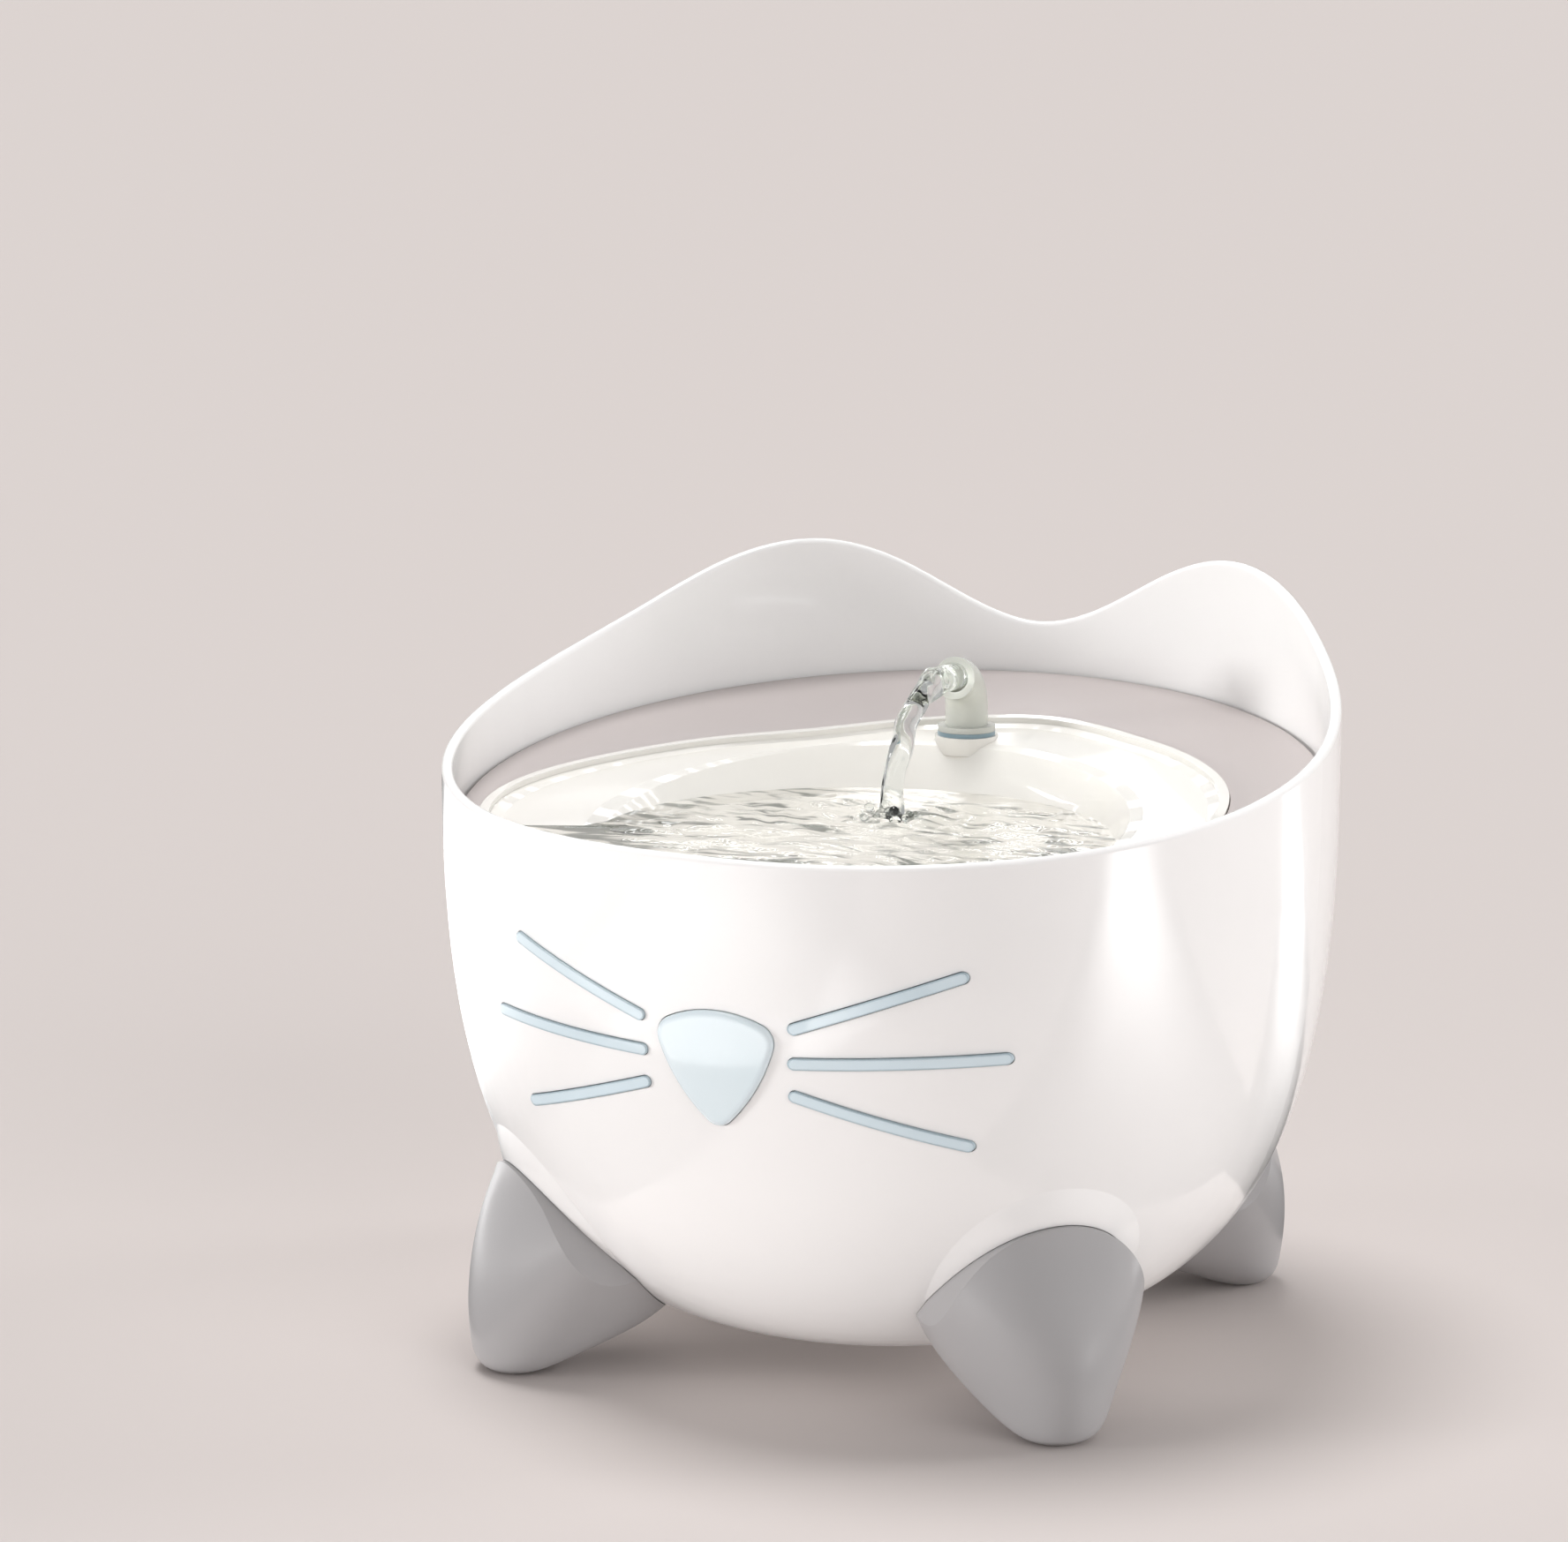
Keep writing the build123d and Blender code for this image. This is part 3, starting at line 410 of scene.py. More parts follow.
# Thermoplastic rubber over a hard core: satin, with a soft broad sheen and a fine even grain.
GREY_RUBBER = Finish(
    "thermoplastic_rubber_satin_grey",
    "#ABA9AA",
    "#A4A2A3",
    roughness=0.46,
    grain=Grain.ERODED,
    grain_size=0.5 * MM,
    grain_depth=0.01 * MM,
    cloud_size=22 * MM,
    coat=0.45,
    coat_roughness=0.22,
)
# Polypropylene from a fine eroded mould: warm grey, half dull.
GREY_POLYPROPYLENE = Finish(
    "polypropylene_satin_warm_grey",
    "#C1B8B6",
    "#BBB2B0",
    roughness=0.42,
    grain=Grain.ERODED,
    grain_size=0.6 * MM,
    grain_depth=0.012 * MM,
    cloud_size=60 * MM,
)
# Polypropylene with a wet skin of water over it, which mirrors the spout.
CREAM_POLYPROPYLENE = Finish(
    "polypropylene_cream_wet",
    "#F8F5EF",
    "#F5F1EA",
    roughness=0.2,
    grain_size=11 * MM,
    grain_depth=0.02 * MM,
    subsurface=0.2,
    subsurface_radius=2.0 * MM,
    coat=0.8,
    coat_roughness=0.02,
)
# Frosted clear plastic: milky, with soft light through the tube's wall.
FROSTED_PLASTIC = Finish(
    "polycarbonate_frosted_clear",
    "#F1F2EB",
    "#E8EAE2",
    roughness=0.22,
    grain=Grain.ERODED,
    grain_size=0.7 * MM,
    grain_depth=0.01 * MM,
    cloud_size=8 * MM,
    ior=1.49,
    transmission=0.3,
    subsurface=0.4,
)
# Silicone rubber, dusty blue: a thin dull ring with a soft highlight.
BLUE_SILICONE = Finish(
    "silicone_rubber_blue_grey",
    "#93A9B3",
    "#879DA8",
    roughness=0.38,
    grain=Grain.ERODED,
    grain_size=0.5 * MM,
    grain_depth=0.01 * MM,
    cloud_size=6 * MM,
)
# Charcoal silicone rubber: dull, with a faint broad highlight.
DARK_SILICONE = Finish(
    "silicone_rubber_charcoal",
    "#3A3A3C",
    "#303032",
    roughness=0.45,
    grain=Grain.ERODED,
    grain_size=0.5 * MM,
    grain_depth=0.01 * MM,
    cloud_size=8 * MM,
)
# Translucent silicone rubber: milky, with some light through it.
CLEAR_SILICONE = Finish(
    "silicone_rubber_translucent",
    "#DDE2E3",
    "#CDD4D6",
    roughness=0.28,
    cloud_size=12 * MM,
    ior=1.41,
    transmission=0.6,
)
# Black ABS from an eroded mould: a broken satin highlight.
BLACK_ABS = Finish(
    "abs_satin_black_moulded",
    "#1E1E20",
    "#262628",
    roughness=0.4,
    grain=Grain.ERODED,
    grain_size=0.7 * MM,
    grain_depth=0.02 * MM,
    cloud_size=18 * MM,
)
# Soft PVC sheath: even black, with a wide dull highlight along the lead.
BLACK_SHEATH = Finish(
    "pvc_sheath_satin_black",
    "#202022",
    "#28282A",
    roughness=0.45,
    grain=Grain.ERODED,
    grain_size=0.6 * MM,
    grain_depth=0.01 * MM,
    cloud_size=15 * MM,
)
# Natural acetal: waxy off-white, half glossy.
NATURAL_ACETAL = Finish(
    "acetal_natural_white",
    "#E9E8E4",
    "#DEDDD8",
    roughness=0.32,
    grain=Grain.ERODED,
    grain_size=0.8 * MM,
    grain_depth=0.01 * MM,
    cloud_size=20 * MM,
)
# Turned stainless steel: grey metal with fine lines through its highlight.
STAINLESS_STEEL = Finish(
    "stainless_steel_turned",
    "#C9C8C6",
    "#B9B8B6",
    roughness=0.3,
    grain=Grain.BRUSHED,
    grain_size=0.4 * MM,
    grain_depth=0.01 * MM,
    cloud_size=4 * MM,
    metallic=1.0,
)
# Nickel-plated brass: bright metal with a warm cast.
NICKELLED_BRASS = Finish(
    "brass_nickel_plated",
    "#D6CFBF",
    "#C8BFAB",
    roughness=0.2,
    grain=Grain.BRUSHED,
    grain_size=0.4 * MM,
    grain_depth=0.005 * MM,
    cloud_size=3 * MM,
    metallic=1.0,
)
# Polished alumina: hard, clear gloss on off-white.
POLISHED_CERAMIC = Finish(
    "alumina_ceramic_polished",
    "#EDECE6",
    "#E3E1DA",
    roughness=0.12,
    grain_size=1 * MM,
    grain_depth=0.003 * MM,
)
# Sealed ferrite: dark grey, dull and a little grainy.
SEALED_FERRITE = Finish(
    "ferrite_sealed_dark",
    "#333336",
    "#2A2A2D",
    roughness=0.5,
    grain=Grain.ERODED,
    grain_size=0.8 * MM,
    grain_depth=0.02 * MM,
    cloud_size=6 * MM,
)
# Clear epoxy lens: glassy, with a faint blue cast.
LAMP_EPOXY = Finish(
    "epoxy_lens_clear",
    "#E6F1F7",
    "#DCEAF2",
    roughness=0.08,
    cloud_size=3 * MM,
    ior=1.54,
    transmission=0.8,
)
# Laid polyester fibres: a matt, uneven felt that is bright at its edges.
FILTER_FIBRE = Finish(
    "polyester_filter_fibre",
    "#E3E5DF",
    "#CFD2CB",
    roughness=0.9,
    grain=Grain.FELTED,
    grain_size=1.4 * MM,
    grain_depth=0.35 * MM,
    cloud_size=9 * MM,
    sheen=0.4,
)

# Which finish each material slot of the record gets.
SLOT_FINISHES: dict[str, Finish] = {
    "white_shell": WHITE_ABS,
    "pale_blue_lens": BLUE_ACRYLIC,
    "grey_foot": GREY_RUBBER,
    "seal_rubber": DARK_SILICONE,
    "seal_blue": BLUE_SILICONE,
    "steel_screw": STAINLESS_STEEL,
    "black_plastic": BLACK_ABS,
    "contact_brass": NICKELLED_BRASS,
    "ceramic": POLISHED_CERAMIC,
    "clear_silicone": CLEAR_SILICONE,
    "lamp_lens": LAMP_EPOXY,
    "cable_sheath": BLACK_SHEATH,
    "white_acetal": NATURAL_ACETAL,
    "ferrite": SEALED_FERRITE,
    "grey_tray": GREY_POLYPROPYLENE,
    "cream_dish": CREAM_POLYPROPYLENE,
    "filter_media": FILTER_FIBRE,
    "frosted_spout": FROSTED_PLASTIC,
}

# Pieces whose look differs from that of their slot.
NODE_FINISHES: dict[str, Finish] = {"whisker_window": SHADE_PAINTED_ACRYLIC_BARS}


@dataclass(frozen=True)
class WaterFinish:
    """Clear water: it bends light and mirrors at a grazing angle. Painted shade lies on it in streaks over
    the ripples and towards its two ends.
    """

    name: str = "water_clear"
    tint: str = "#FBFDFC"
    shade: str = "#E4EAEA"  # painted shade in streaks, for the dark backs of the ripples
    ripple_size: float = 5.0 * MM
    ripple_depth: float = 0.05 * MM
    ripple_detail: float = 1.0
    streak_length: float = 9.0 * MM
    streak_breadth: float = 4.0 * MM
    streak_detail: float = 2.5
    streak_swirl: float = 1.2
    streak_share: float = 0.54  # noise level above which the painted shade shows
    streak_fade: float = 0.16  # noise levels over which the painted shade grows
    end_place: float = 34.0 * MM  # how far across the painted shade of the walls begins
    end_fade: float = 20.0 * MM
    painted_wall_shade: float = 0.0  # painted shade of the walls: what they add to the noise level

    def build(self) -> Material:
        """Makes the material's node tree.

        Returns:
            The finished material.
        """
        material = blank_material(self.name)
        tree = material.node_tree
        place = add_place(tree)
        ripples = add_noise(tree, place, self.ripple_size, self.ripple_detail)
        relief = add_node(tree, "ShaderNodeBump", {"Height": ripples, "Distance": self.ripple_depth})
        scale = (1 / self.streak_length, 1 / self.streak_breadth, 1 / self.streak_breadth)
        streaks = add_node(tree, "ShaderNodeMapping", {"Vector": place, "Scale": scale}).outputs["Vector"]
        # painted shade in streaks over the ripples, with more of it towards the walls at the two ends
        painted_streaks = add_noise(tree, streaks, 1.0, self.streak_detail, self.streak_swirl)
        across = add_node(tree, "ShaderNodeSeparateXYZ", {"Vector": place}).outputs["X"]
        away = add_math(tree, "ABSOLUTE", across)
        ends = add_ramp(tree, away, self.end_place, self.end_place + self.end_fade, top=self.painted_wall_shade)
        level = add_math(tree, "ADD", painted_streaks, ends)
        dark = self.streak_share + self.streak_fade
        share = add_ramp(tree, level, self.streak_share, dark, smooth=True)
        shader = add_node(
            tree,
            "ShaderNodeBsdfPrincipled",
            {
                "Base Color": add_mix(tree, share, linear(self.tint), linear(self.shade)),
                "Roughness": 0.0,
                "IOR": WATER_IOR,
                "Transmission Weight": 1.0,
                "Normal": relief.outputs["Normal"],
            },
        )
        add_surface(tree, shader.outputs["BSDF"])
        return material


# Standing water in the dish: the cream bottom shows through it, greyed by painted shade in the tint, with
# painted grey-green streaks of shade over the ripples.
STANDING_WATER = WaterFinish(
    name="water_pool",
    # painted shade: the grey tint darkens all that is seen through the water
    tint="#D0CFCC",
    shade="#454945",
    ripple_depth=0.2 * MM,
    streak_length=19 * MM,
    streak_breadth=6 * MM,
    streak_share=0.5,
    painted_wall_shade=0.1,
)


def new_piece(name: str, mesh: bmesh.types.BMesh, material: Material) -> Piece:
    """Turns a finished bmesh into an object at the origin, smooth-shaded, with one material.

    Args:
        name: The piece's name.
        mesh: The shape, which is freed.
        material: Its material.

    Returns:
        The new object, in the scene.
    """
    data = bpy.data.meshes.new(name)
    for face in mesh.faces:
        face.smooth = True
    mesh.to_mesh(data)
    mesh.free()
    data.materials.append(material)
    piece = bpy.data.objects.new(name, data)
    bpy.context.scene.collection.objects.link(piece)
    log.info("%s: %d faces", name, len(data.polygons))
    return piece


@dataclass
class MouldedPieces:
    """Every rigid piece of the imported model, each in its slot's finish."""

    nodes: dict[str, Piece]
    record: dict[str, Any]
    materials: dict[str, Material] = field(default_factory=dict)

    def material_for(self, slot: str, node: str = "") -> Material:
        """Gives a slot's material, made once.

        Args:
            slot: The record's name for the slot.
            node: The piece that wears it.

        Returns:
            The material.
        """
        finish = NODE_FINISHES.get(node, SLOT_FINISHES[slot])
        if finish.name not in self.materials:
            self.materials[finish.name] = finish.build()
        return self.materials[finish.name]

    def dress(self) -> None:
        """Puts each node's finish on it."""
        for part in self.record["subparts"]:
            node = self.nodes[part["node"]]
            for holder in node.material_slots:
                holder.material = self.material_for(part["material_slot"], part["node"])
            log.info("%s: %s", node.name, part["material_slot"])


@dataclass
class Pool:
    """The water that stands in the dish's well and over its front."""

    material: Material
    dish: Piece
    level: float = 120.75 * MM
    centre: Vector = field(default_factory=lambda: Vector((0.0, -20.6 * MM, 0.0)))  # the well's axis
    foot: Vector = field(default_factory=lambda: Vector((0.0, 0.5 * MM, 0.0)))  # where the stream lands
    rings: int = 84
    spokes: int = 240
    sink: float = 0.25 * MM  # how far the water runs into the dish's surface
    floor_depth: float = 8.6 * MM  # greatest depth in the well
    film_depth: float = 1.6 * MM  # greatest depth outside it
    well_radius: float = 59.0 * MM
    ring_wave: float = 7.5 * MM  # spacing of the rings round the stream's foot
    ring_height: float = 0.55 * MM
    ring_reach: float = 24.0 * MM
    ring_wobble: float = 2.4  # how far the rings stray from round, in radians of their wave
    chop_size: float = 9.0 * MM
    chop_height: float = 1.0 * MM
    chop_stretch: float = 2.2  # length across against length along
    chop_layer: float = 3.0  # which slice of the noise is taken
    chop_falloff: float = 1.0  # how much weaker each finer octave is
    chop_refining: float = 2.0  # how much finer each octave is
    chop_octaves: int = 3
    calm_edge: int = 8  # power with which the ripples die at the edge
    calm_depth: float = 4.0 * MM  # water shallower than this ripples less
    probe: float = 1.0 * MM  # height over the water from which the ground is looked for
    no_ground: float = -1.0  # height that stands for a miss, far under the dish

    def surface(self) -> BVHTree:
        """Gives the dish's faces as a tree for finding what lies under or beside a point."""
        return BVHTree.FromPolygons(
            [vertex.co for vertex in self.dish.data.vertices],
            [face.vertices for face in self.dish.data.polygons],
        )

    def edge_at(self, dish: BVHTree, turn: float) -> float:
        """Finds how far the level surface reaches in one direction.

        Args:
            dish: The dish's faces.
            turn: The direction about the well's axis, in radians.

        Returns:
            The distance from the well's axis.
        """
        start = Vector((self.centre.x, self.centre.y, self.level))
        hit = dish.ray_cast(start, Vector((math.cos(turn), math.sin(turn), 0.0)))
        return hit[3] + self.sink if hit[0] else self.well_radius

    def height_at(self, x: float, y: float, share: float) -> float:
        """Gives the ripples' height.

        Args:
            x: Place across.
            y: Place along.
            share: How far out the place lies, from nought at the middle to one at the edge.

        Returns:
            The height above the still level.
        """
        away = math.hypot(x - self.foot.x, y - self.foot.y)
        wobble = noise.noise(Vector((x, y, 0.0)) / self.chop_size) * self.ring_wobble
        rings = math.sin(away / self.ring_wave * math.tau + wobble) * math.exp(-away / self.ring_reach)
        place = Vector((x / (self.chop_stretch * self.chop_size), y / self.chop_size, self.chop_layer))
        chop = noise.fractal(place, self.chop_falloff, self.chop_refining, self.chop_octaves)
        calm = 1 - share**self.calm_edge
        return (rings * self.ring_height + chop * self.chop_height) * calm

    def calm_at(self, dish: BVHTree, x: float, y: float) -> float:
        """Gives the share of the ripples that the depth allows.

        Args:
            dish: The dish's faces.
            x: Place across.
            y: Place along.

        Returns:
            Nought on dry ground to one in deep water.
        """
        hit = dish.ray_cast(Vector((x, y, self.level + self.floor_depth)), Vector((0, 0, -1)))
        depth = self.level - hit[0].z if hit[0] else self.calm_depth
        return min(max(depth / self.calm_depth, 0.0), 1.0)

    def build(self) -> Piece:
        """Makes the body of water.

        Returns:
            The piece.
        """
        dish = self.surface()
        mesh = bmesh.new()
        bmesh.ops.create_circle(mesh, cap_ends=True, segments=self.spokes, radius=1 / self.rings)
        edges = mesh.edges[:]
        for step in range(2, self.rings + 1):
            verts, edges = grow_ring(mesh, edges)
            bmesh.ops.scale(mesh, verts=verts, vec=Vector((step, step, 1)) / (step - 1))
        for vertex in mesh.verts:
            share = min(vertex.co.xy.length, 1.0)
            turn = math.atan2(vertex.co.y, vertex.co.x)
            reach = self.edge_at(dish, turn) * share if share > 0 else 0.0
            x = self.centre.x + reach * math.cos(turn)
            y = self.centre.y + reach * math.sin(turn)
            ripple = self.height_at(x, y, share) * self.calm_at(dish, x, y)
            vertex.co = (x, y, self.level + ripple)
        self.close_underneath(mesh, dish)
        bmesh.ops.recalc_face_normals(mesh, faces=mesh.faces)
        piece = new_piece("water_pool", mesh, self.material)
        hide_from(piece, "shadow")  # light reaches the dish through clear water
        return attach(piece, "tray")

    def close_underneath(self, mesh: bmesh.types.BMesh, dish: BVHTree) -> None:
        """Copies the surface down on to the dish and joins the two round the edge.

        Args:
            mesh: The water's upper surface.
            dish: The dish's faces.
        """
        top_edges = [edge for edge in mesh.edges if edge.is_boundary]
        copy = bmesh.ops.duplicate(mesh, geom=mesh.verts[:] + mesh.edges[:] + mesh.faces[:])["geom"]
        lower = [item for item in copy if isinstance(item, bmesh.types.BMVert)]
        for vertex in lower:
            away = (vertex.co - self.centre).xy.length
            lowest = self.floor_depth if away < self.well_radius else self.film_depth
            start = Vector((vertex.co.x, vertex.co.y, self.level + self.probe))
            hit = dish.ray_cast(start, Vector((0, 0, -1)))
            ground = hit[0].z if hit[0] else self.no_ground
            vertex.co.z = max(min(ground, self.level) - self.sink, self.level - lowest)
        low_edges = [item for item in copy if isinstance(item, bmesh.types.BMEdge) and item.is_boundary]
        bmesh.ops.bridge_loops(mesh, edges=top_edges + low_edges)


@dataclass
class Stream:
    """The water that arches from the spout's mouth into the pool."""

    material: Material
    # Guide points of the arch, from the mouth to the pool: place along and height.
    guides: tuple[tuple[float, float], ...] = (
        (43.0 * MM, 147.6 * MM),
        (14.0 * MM, 151.5 * MM),
        (6.0 * MM, 140.0 * MM),
        (0.5 * MM, 119.6 * MM),
    )
    steps: int = 120
    spokes: int = 40
    mouth_radius: float = 3.2 * MM
    body_radius: float = 3.6 * MM
    foot_radius: float = 2.9 * MM
    swell_rate: float = 1.3  # the swelling ends at one over this share of the arch
    lump_size: float = 7.0 * MM
    lump_height: float = 1.0 * MM
    lump_start: float = 12.0 * MM  # how far from the mouth the lumps are full
    flatness: float = 0.72  # thickness of the arch against its width
    smoothings: int = 3
    smoothing: float = 0.5
    heading_step: float = 0.01  # share of the arch on either side that sets a section's heading

    def point(self, share: float) -> Vector:
        """Gives a point of the arch's centre line, from nought at the mouth to one at the pool."""
        rest = 1 - share
        weights = (rest**3, 3 * rest**2 * share, 3 * rest * share**2, share**3)
        y = sum(weight * guide[0] for weight, guide in zip(weights, self.guides))
        z = sum(weight * guide[1] for weight, guide in zip(weights, self.guides))
        return Vector((0.0, y, z))

    def radius(self, share: float) -> float:
        """Gives the stream's half width along the arch."""
        swell = math.sin(math.pi * min(share * self.swell_rate, 1.0))
        ends = self.mouth_radius + (self.foot_radius - self.mouth_radius) * share
        return ends + (self.body_radius - ends) * swell

    def build(self) -> Piece:
        """Makes the stream.

        Returns:
            The piece, which arches from the spout's mouth into the pool.
        """
        mesh = bmesh.new()
        ring = bmesh.ops.create_circle(mesh, cap_ends=True, segments=self.spokes, radius=1.0)["verts"]
        self.place(mesh, ring, 0.0)
        edges = mesh.edges[:]
        for step in range(1, self.steps + 1):
            ring, edges = grow_ring(mesh, edges)
            self.unplace(mesh, ring, (step - 1) / self.steps)
            self.place(mesh, ring, step / self.steps)
        bmesh.ops.contextual_create(mesh, geom=edges)
        for vertex in mesh.verts:
            lump = noise.noise_vector(vertex.co / self.lump_size) * self.lump_height
            share = min(max((self.guides[0][0] - vertex.co.y) / self.lump_start, 0.0), 1.0)
            vertex.co += lump * share
        axes = {"use_axis_x": True, "use_axis_y": True, "use_axis_z": True}
        for _ in range(self.smoothings):
            bmesh.ops.smooth_vert(mesh, verts=mesh.verts, factor=self.smoothing, **axes)
        bmesh.ops.recalc_face_normals(mesh, faces=mesh.faces)
        piece = new_piece("water_stream", mesh, self.material)
        hide_from(piece, "shadow")
        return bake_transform(piece)

    def section(self, share: float) -> Matrix:
        """Gives the transform from a unit circle to the stream's cross-section.

        Args:
            share: How far along the arch the section stands.

        Returns:
            The transform.
        """
        before, after = max(share - self.heading_step, 0.0), min(share + self.heading_step, 1.0)
        ahead = self.point(after) - self.point(before)
        turn = ahead.to_track_quat("Z", "X").to_matrix().to_4x4()
        flat = 1 - (1 - self.flatness) * math.sin(math.pi * share)
        radius = self.radius(share)
        size = Matrix.Diagonal((radius, radius * flat, 1.0, 1.0))
        return Matrix.Translation(self.point(share)) @ turn @ size

    def place(self, mesh: bmesh.types.BMesh, ring: list[bmesh.types.BMVert], share: float) -> None:
        """Moves a unit circle to its section of the arch."""
        bmesh.ops.transform(mesh, matrix=self.section(share), verts=ring)

    def unplace(self, mesh: bmesh.types.BMesh, ring: list[bmesh.types.BMVert], share: float) -> None:
        """Moves a section of the arch back to a unit circle."""
        bmesh.ops.transform(mesh, matrix=self.section(share).inverted(), verts=ring)


@dataclass
class Drops:
    """Bubbles and drops round the place where the stream lands."""

    material: Material
    foot: Vector = field(default_factory=lambda: Vector((0.0, 0.5 * MM, 120.7 * MM)))
    count: int = 44
    reach: float = 9.5 * MM
    crowding: float = 0.7  # power that sets how the drops thin out away from the foot
    smallest: float = 0.5 * MM
    largest: float = 1.8 * MM
    outer_loss: float = 0.5  # share of its size that a drop at the edge of the reach has lost
    # Heights over the water to choose from, in drop sizes: most float, one in four is in the air.
    lifts: tuple[float, ...] = (0.2, 0.2, 0.3, 1.6)
    flattest: float = 0.75  # height against breadth
    tallest: float = 1.1
    dent: float = 0.06  # depth of the dents, in drop sizes
    fineness: int = 3
    seed: int = 11

    def build(self) -> Piece:
        """Makes the bubbles and drops as one piece.

        Returns:
            The piece.
        """
        chance = random.Random(self.seed)
        mesh = bmesh.new()
        for _ in range(self.count):
            turn = chance.uniform(0, math.tau)
            away = self.reach * chance.random() ** self.crowding
            size = chance.uniform(self.smallest, self.largest)
            size *= 1 - self.outer_loss * away / self.reach
            lift = chance.choice(self.lifts) * size
            place = self.foot + Vector((away * math.cos(turn), away * math.sin(turn), lift))
            tall = size * chance.uniform(self.flattest, self.tallest)
            squash = Matrix.Diagonal((size, size, tall, 1.0))
            made = bmesh.ops.create_icosphere(mesh, subdivisions=self.fineness, radius=1.0)["verts"]
            bmesh.ops.transform(mesh, matrix=Matrix.Translation(place) @ squash, verts=made)
            for vertex in made:
                vertex.co += noise.noise_vector(vertex.co / size) * size * self.dent
        piece = new_piece("water_drops", mesh, self.material)
        hide_from(piece, "shadow")
        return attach(piece, "tray")


@dataclass
class FilterPad:
    """The soft fibre pad in the filter basket."""

    material: Material
    play: float = 0.2 * MM  # gap at each side and at the top
    corner: float = 3.5 * MM  # radius of the upright corners
    corner_steps: int = 5
    edge: float = 1.6 * MM  # radius of the rims
    edge_steps: int = 3
    cuts: int = 30
    level_normal: float = 0.9  # upward share of the normal that makes a face top or bottom
    loft_size: float = 6.0 * MM
    loft_height: float = 0.5 * MM
    loft_sag: float = 0.6  # how much of that height lies inside the plain block
    loft_zone: float = 0.45  # share of the thickness, from the middle, that stays as it is

    def build(self) -> Piece:
        """Makes the pad, a little crowned, with rounded corners and a loose surface.

        Returns:
            The piece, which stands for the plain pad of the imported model.
        """
        low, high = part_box("filter_cartridge")
        size = Vector(high) - Vector(low) - Vector((2, 2, 1)) * self.play
        middle = (Vector(high) + Vector(low)) / 2
        mesh = bmesh.new()
        bmesh.ops.create_cube(mesh, size=1.0)
        bmesh.ops.scale(mesh, verts=mesh.verts, vec=size)
        upright = [edge for edge in mesh.edges if abs(edge.verts[0].co.z - edge.verts[1].co.z) > size.z / 2]
        rounding = {"profile": 0.5, "affect": "EDGES", "material": -1}
        bmesh.ops.bevel(mesh, geom=upright, offset=self.corner, segments=self.corner_steps, **rounding)
        level = [face for face in mesh.faces if abs(face.normal.z) > self.level_normal]
        rims = [edge for face in level for edge in face.edges]
        bmesh.ops.bevel(mesh, geom=rims, offset=self.edge, segments=self.edge_steps, **rounding)
        for axis in (0, 1):
            for step in range(1, self.cuts):
                place, normal = Vector((0, 0, 0)), Vector((0, 0, 0))
                place[axis] = size[axis] * (step / self.cuts - 0.5)
                normal[axis] = 1.0
                geometry = mesh.verts[:] + mesh.edges[:] + mesh.faces[:]
                bmesh.ops.bisect_plane(mesh, geom=geometry, plane_co=place, plane_no=normal)
        for vertex in mesh.verts:
            if abs(vertex.co.z) > size.z * self.loft_zone:
                lift = (noise.noise(vertex.co / self.loft_size) - self.loft_sag) * self.loft_height
                vertex.co.z += math.copysign(lift, vertex.co.z)
        bmesh.ops.translate(mesh, verts=mesh.verts, vec=middle)
        bmesh.ops.recalc_face_normals(mesh, faces=mesh.faces)
        piece = new_piece("filter_pad", mesh, self.material)
        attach(piece, "tray")
        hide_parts("filter_cartridge")
        return piece


@dataclass(frozen=True)
class Sun:
    """A far lamp.  A wide one gives soft shadows."""

    name: str
    strength: float
    spread: float  # degrees across
    height: float  # degrees above the floor
    turn: float  # degrees to the right of the camera, seen from the object
    mirrored: bool = True  # whether gloss shows it

    def build(self, camera_turn: float) -> None:
        """Hangs the lamp.

        Args:
            camera_turn: The camera's bearing, in degrees from straight in front.
        """
        data = bpy.data.lights.new(self.name, "SUN")
        data.energy = self.strength
        data.angle = math.radians(self.spread)
        lamp = bpy.data.objects.new(self.name, data)
        lamp.rotation_euler = (math.radians(90 - self.height), 0.0, math.radians(camera_turn + self.turn))
        lamp.visible_glossy = self.mirrored
        bpy.context.scene.collection.objects.link(lamp)


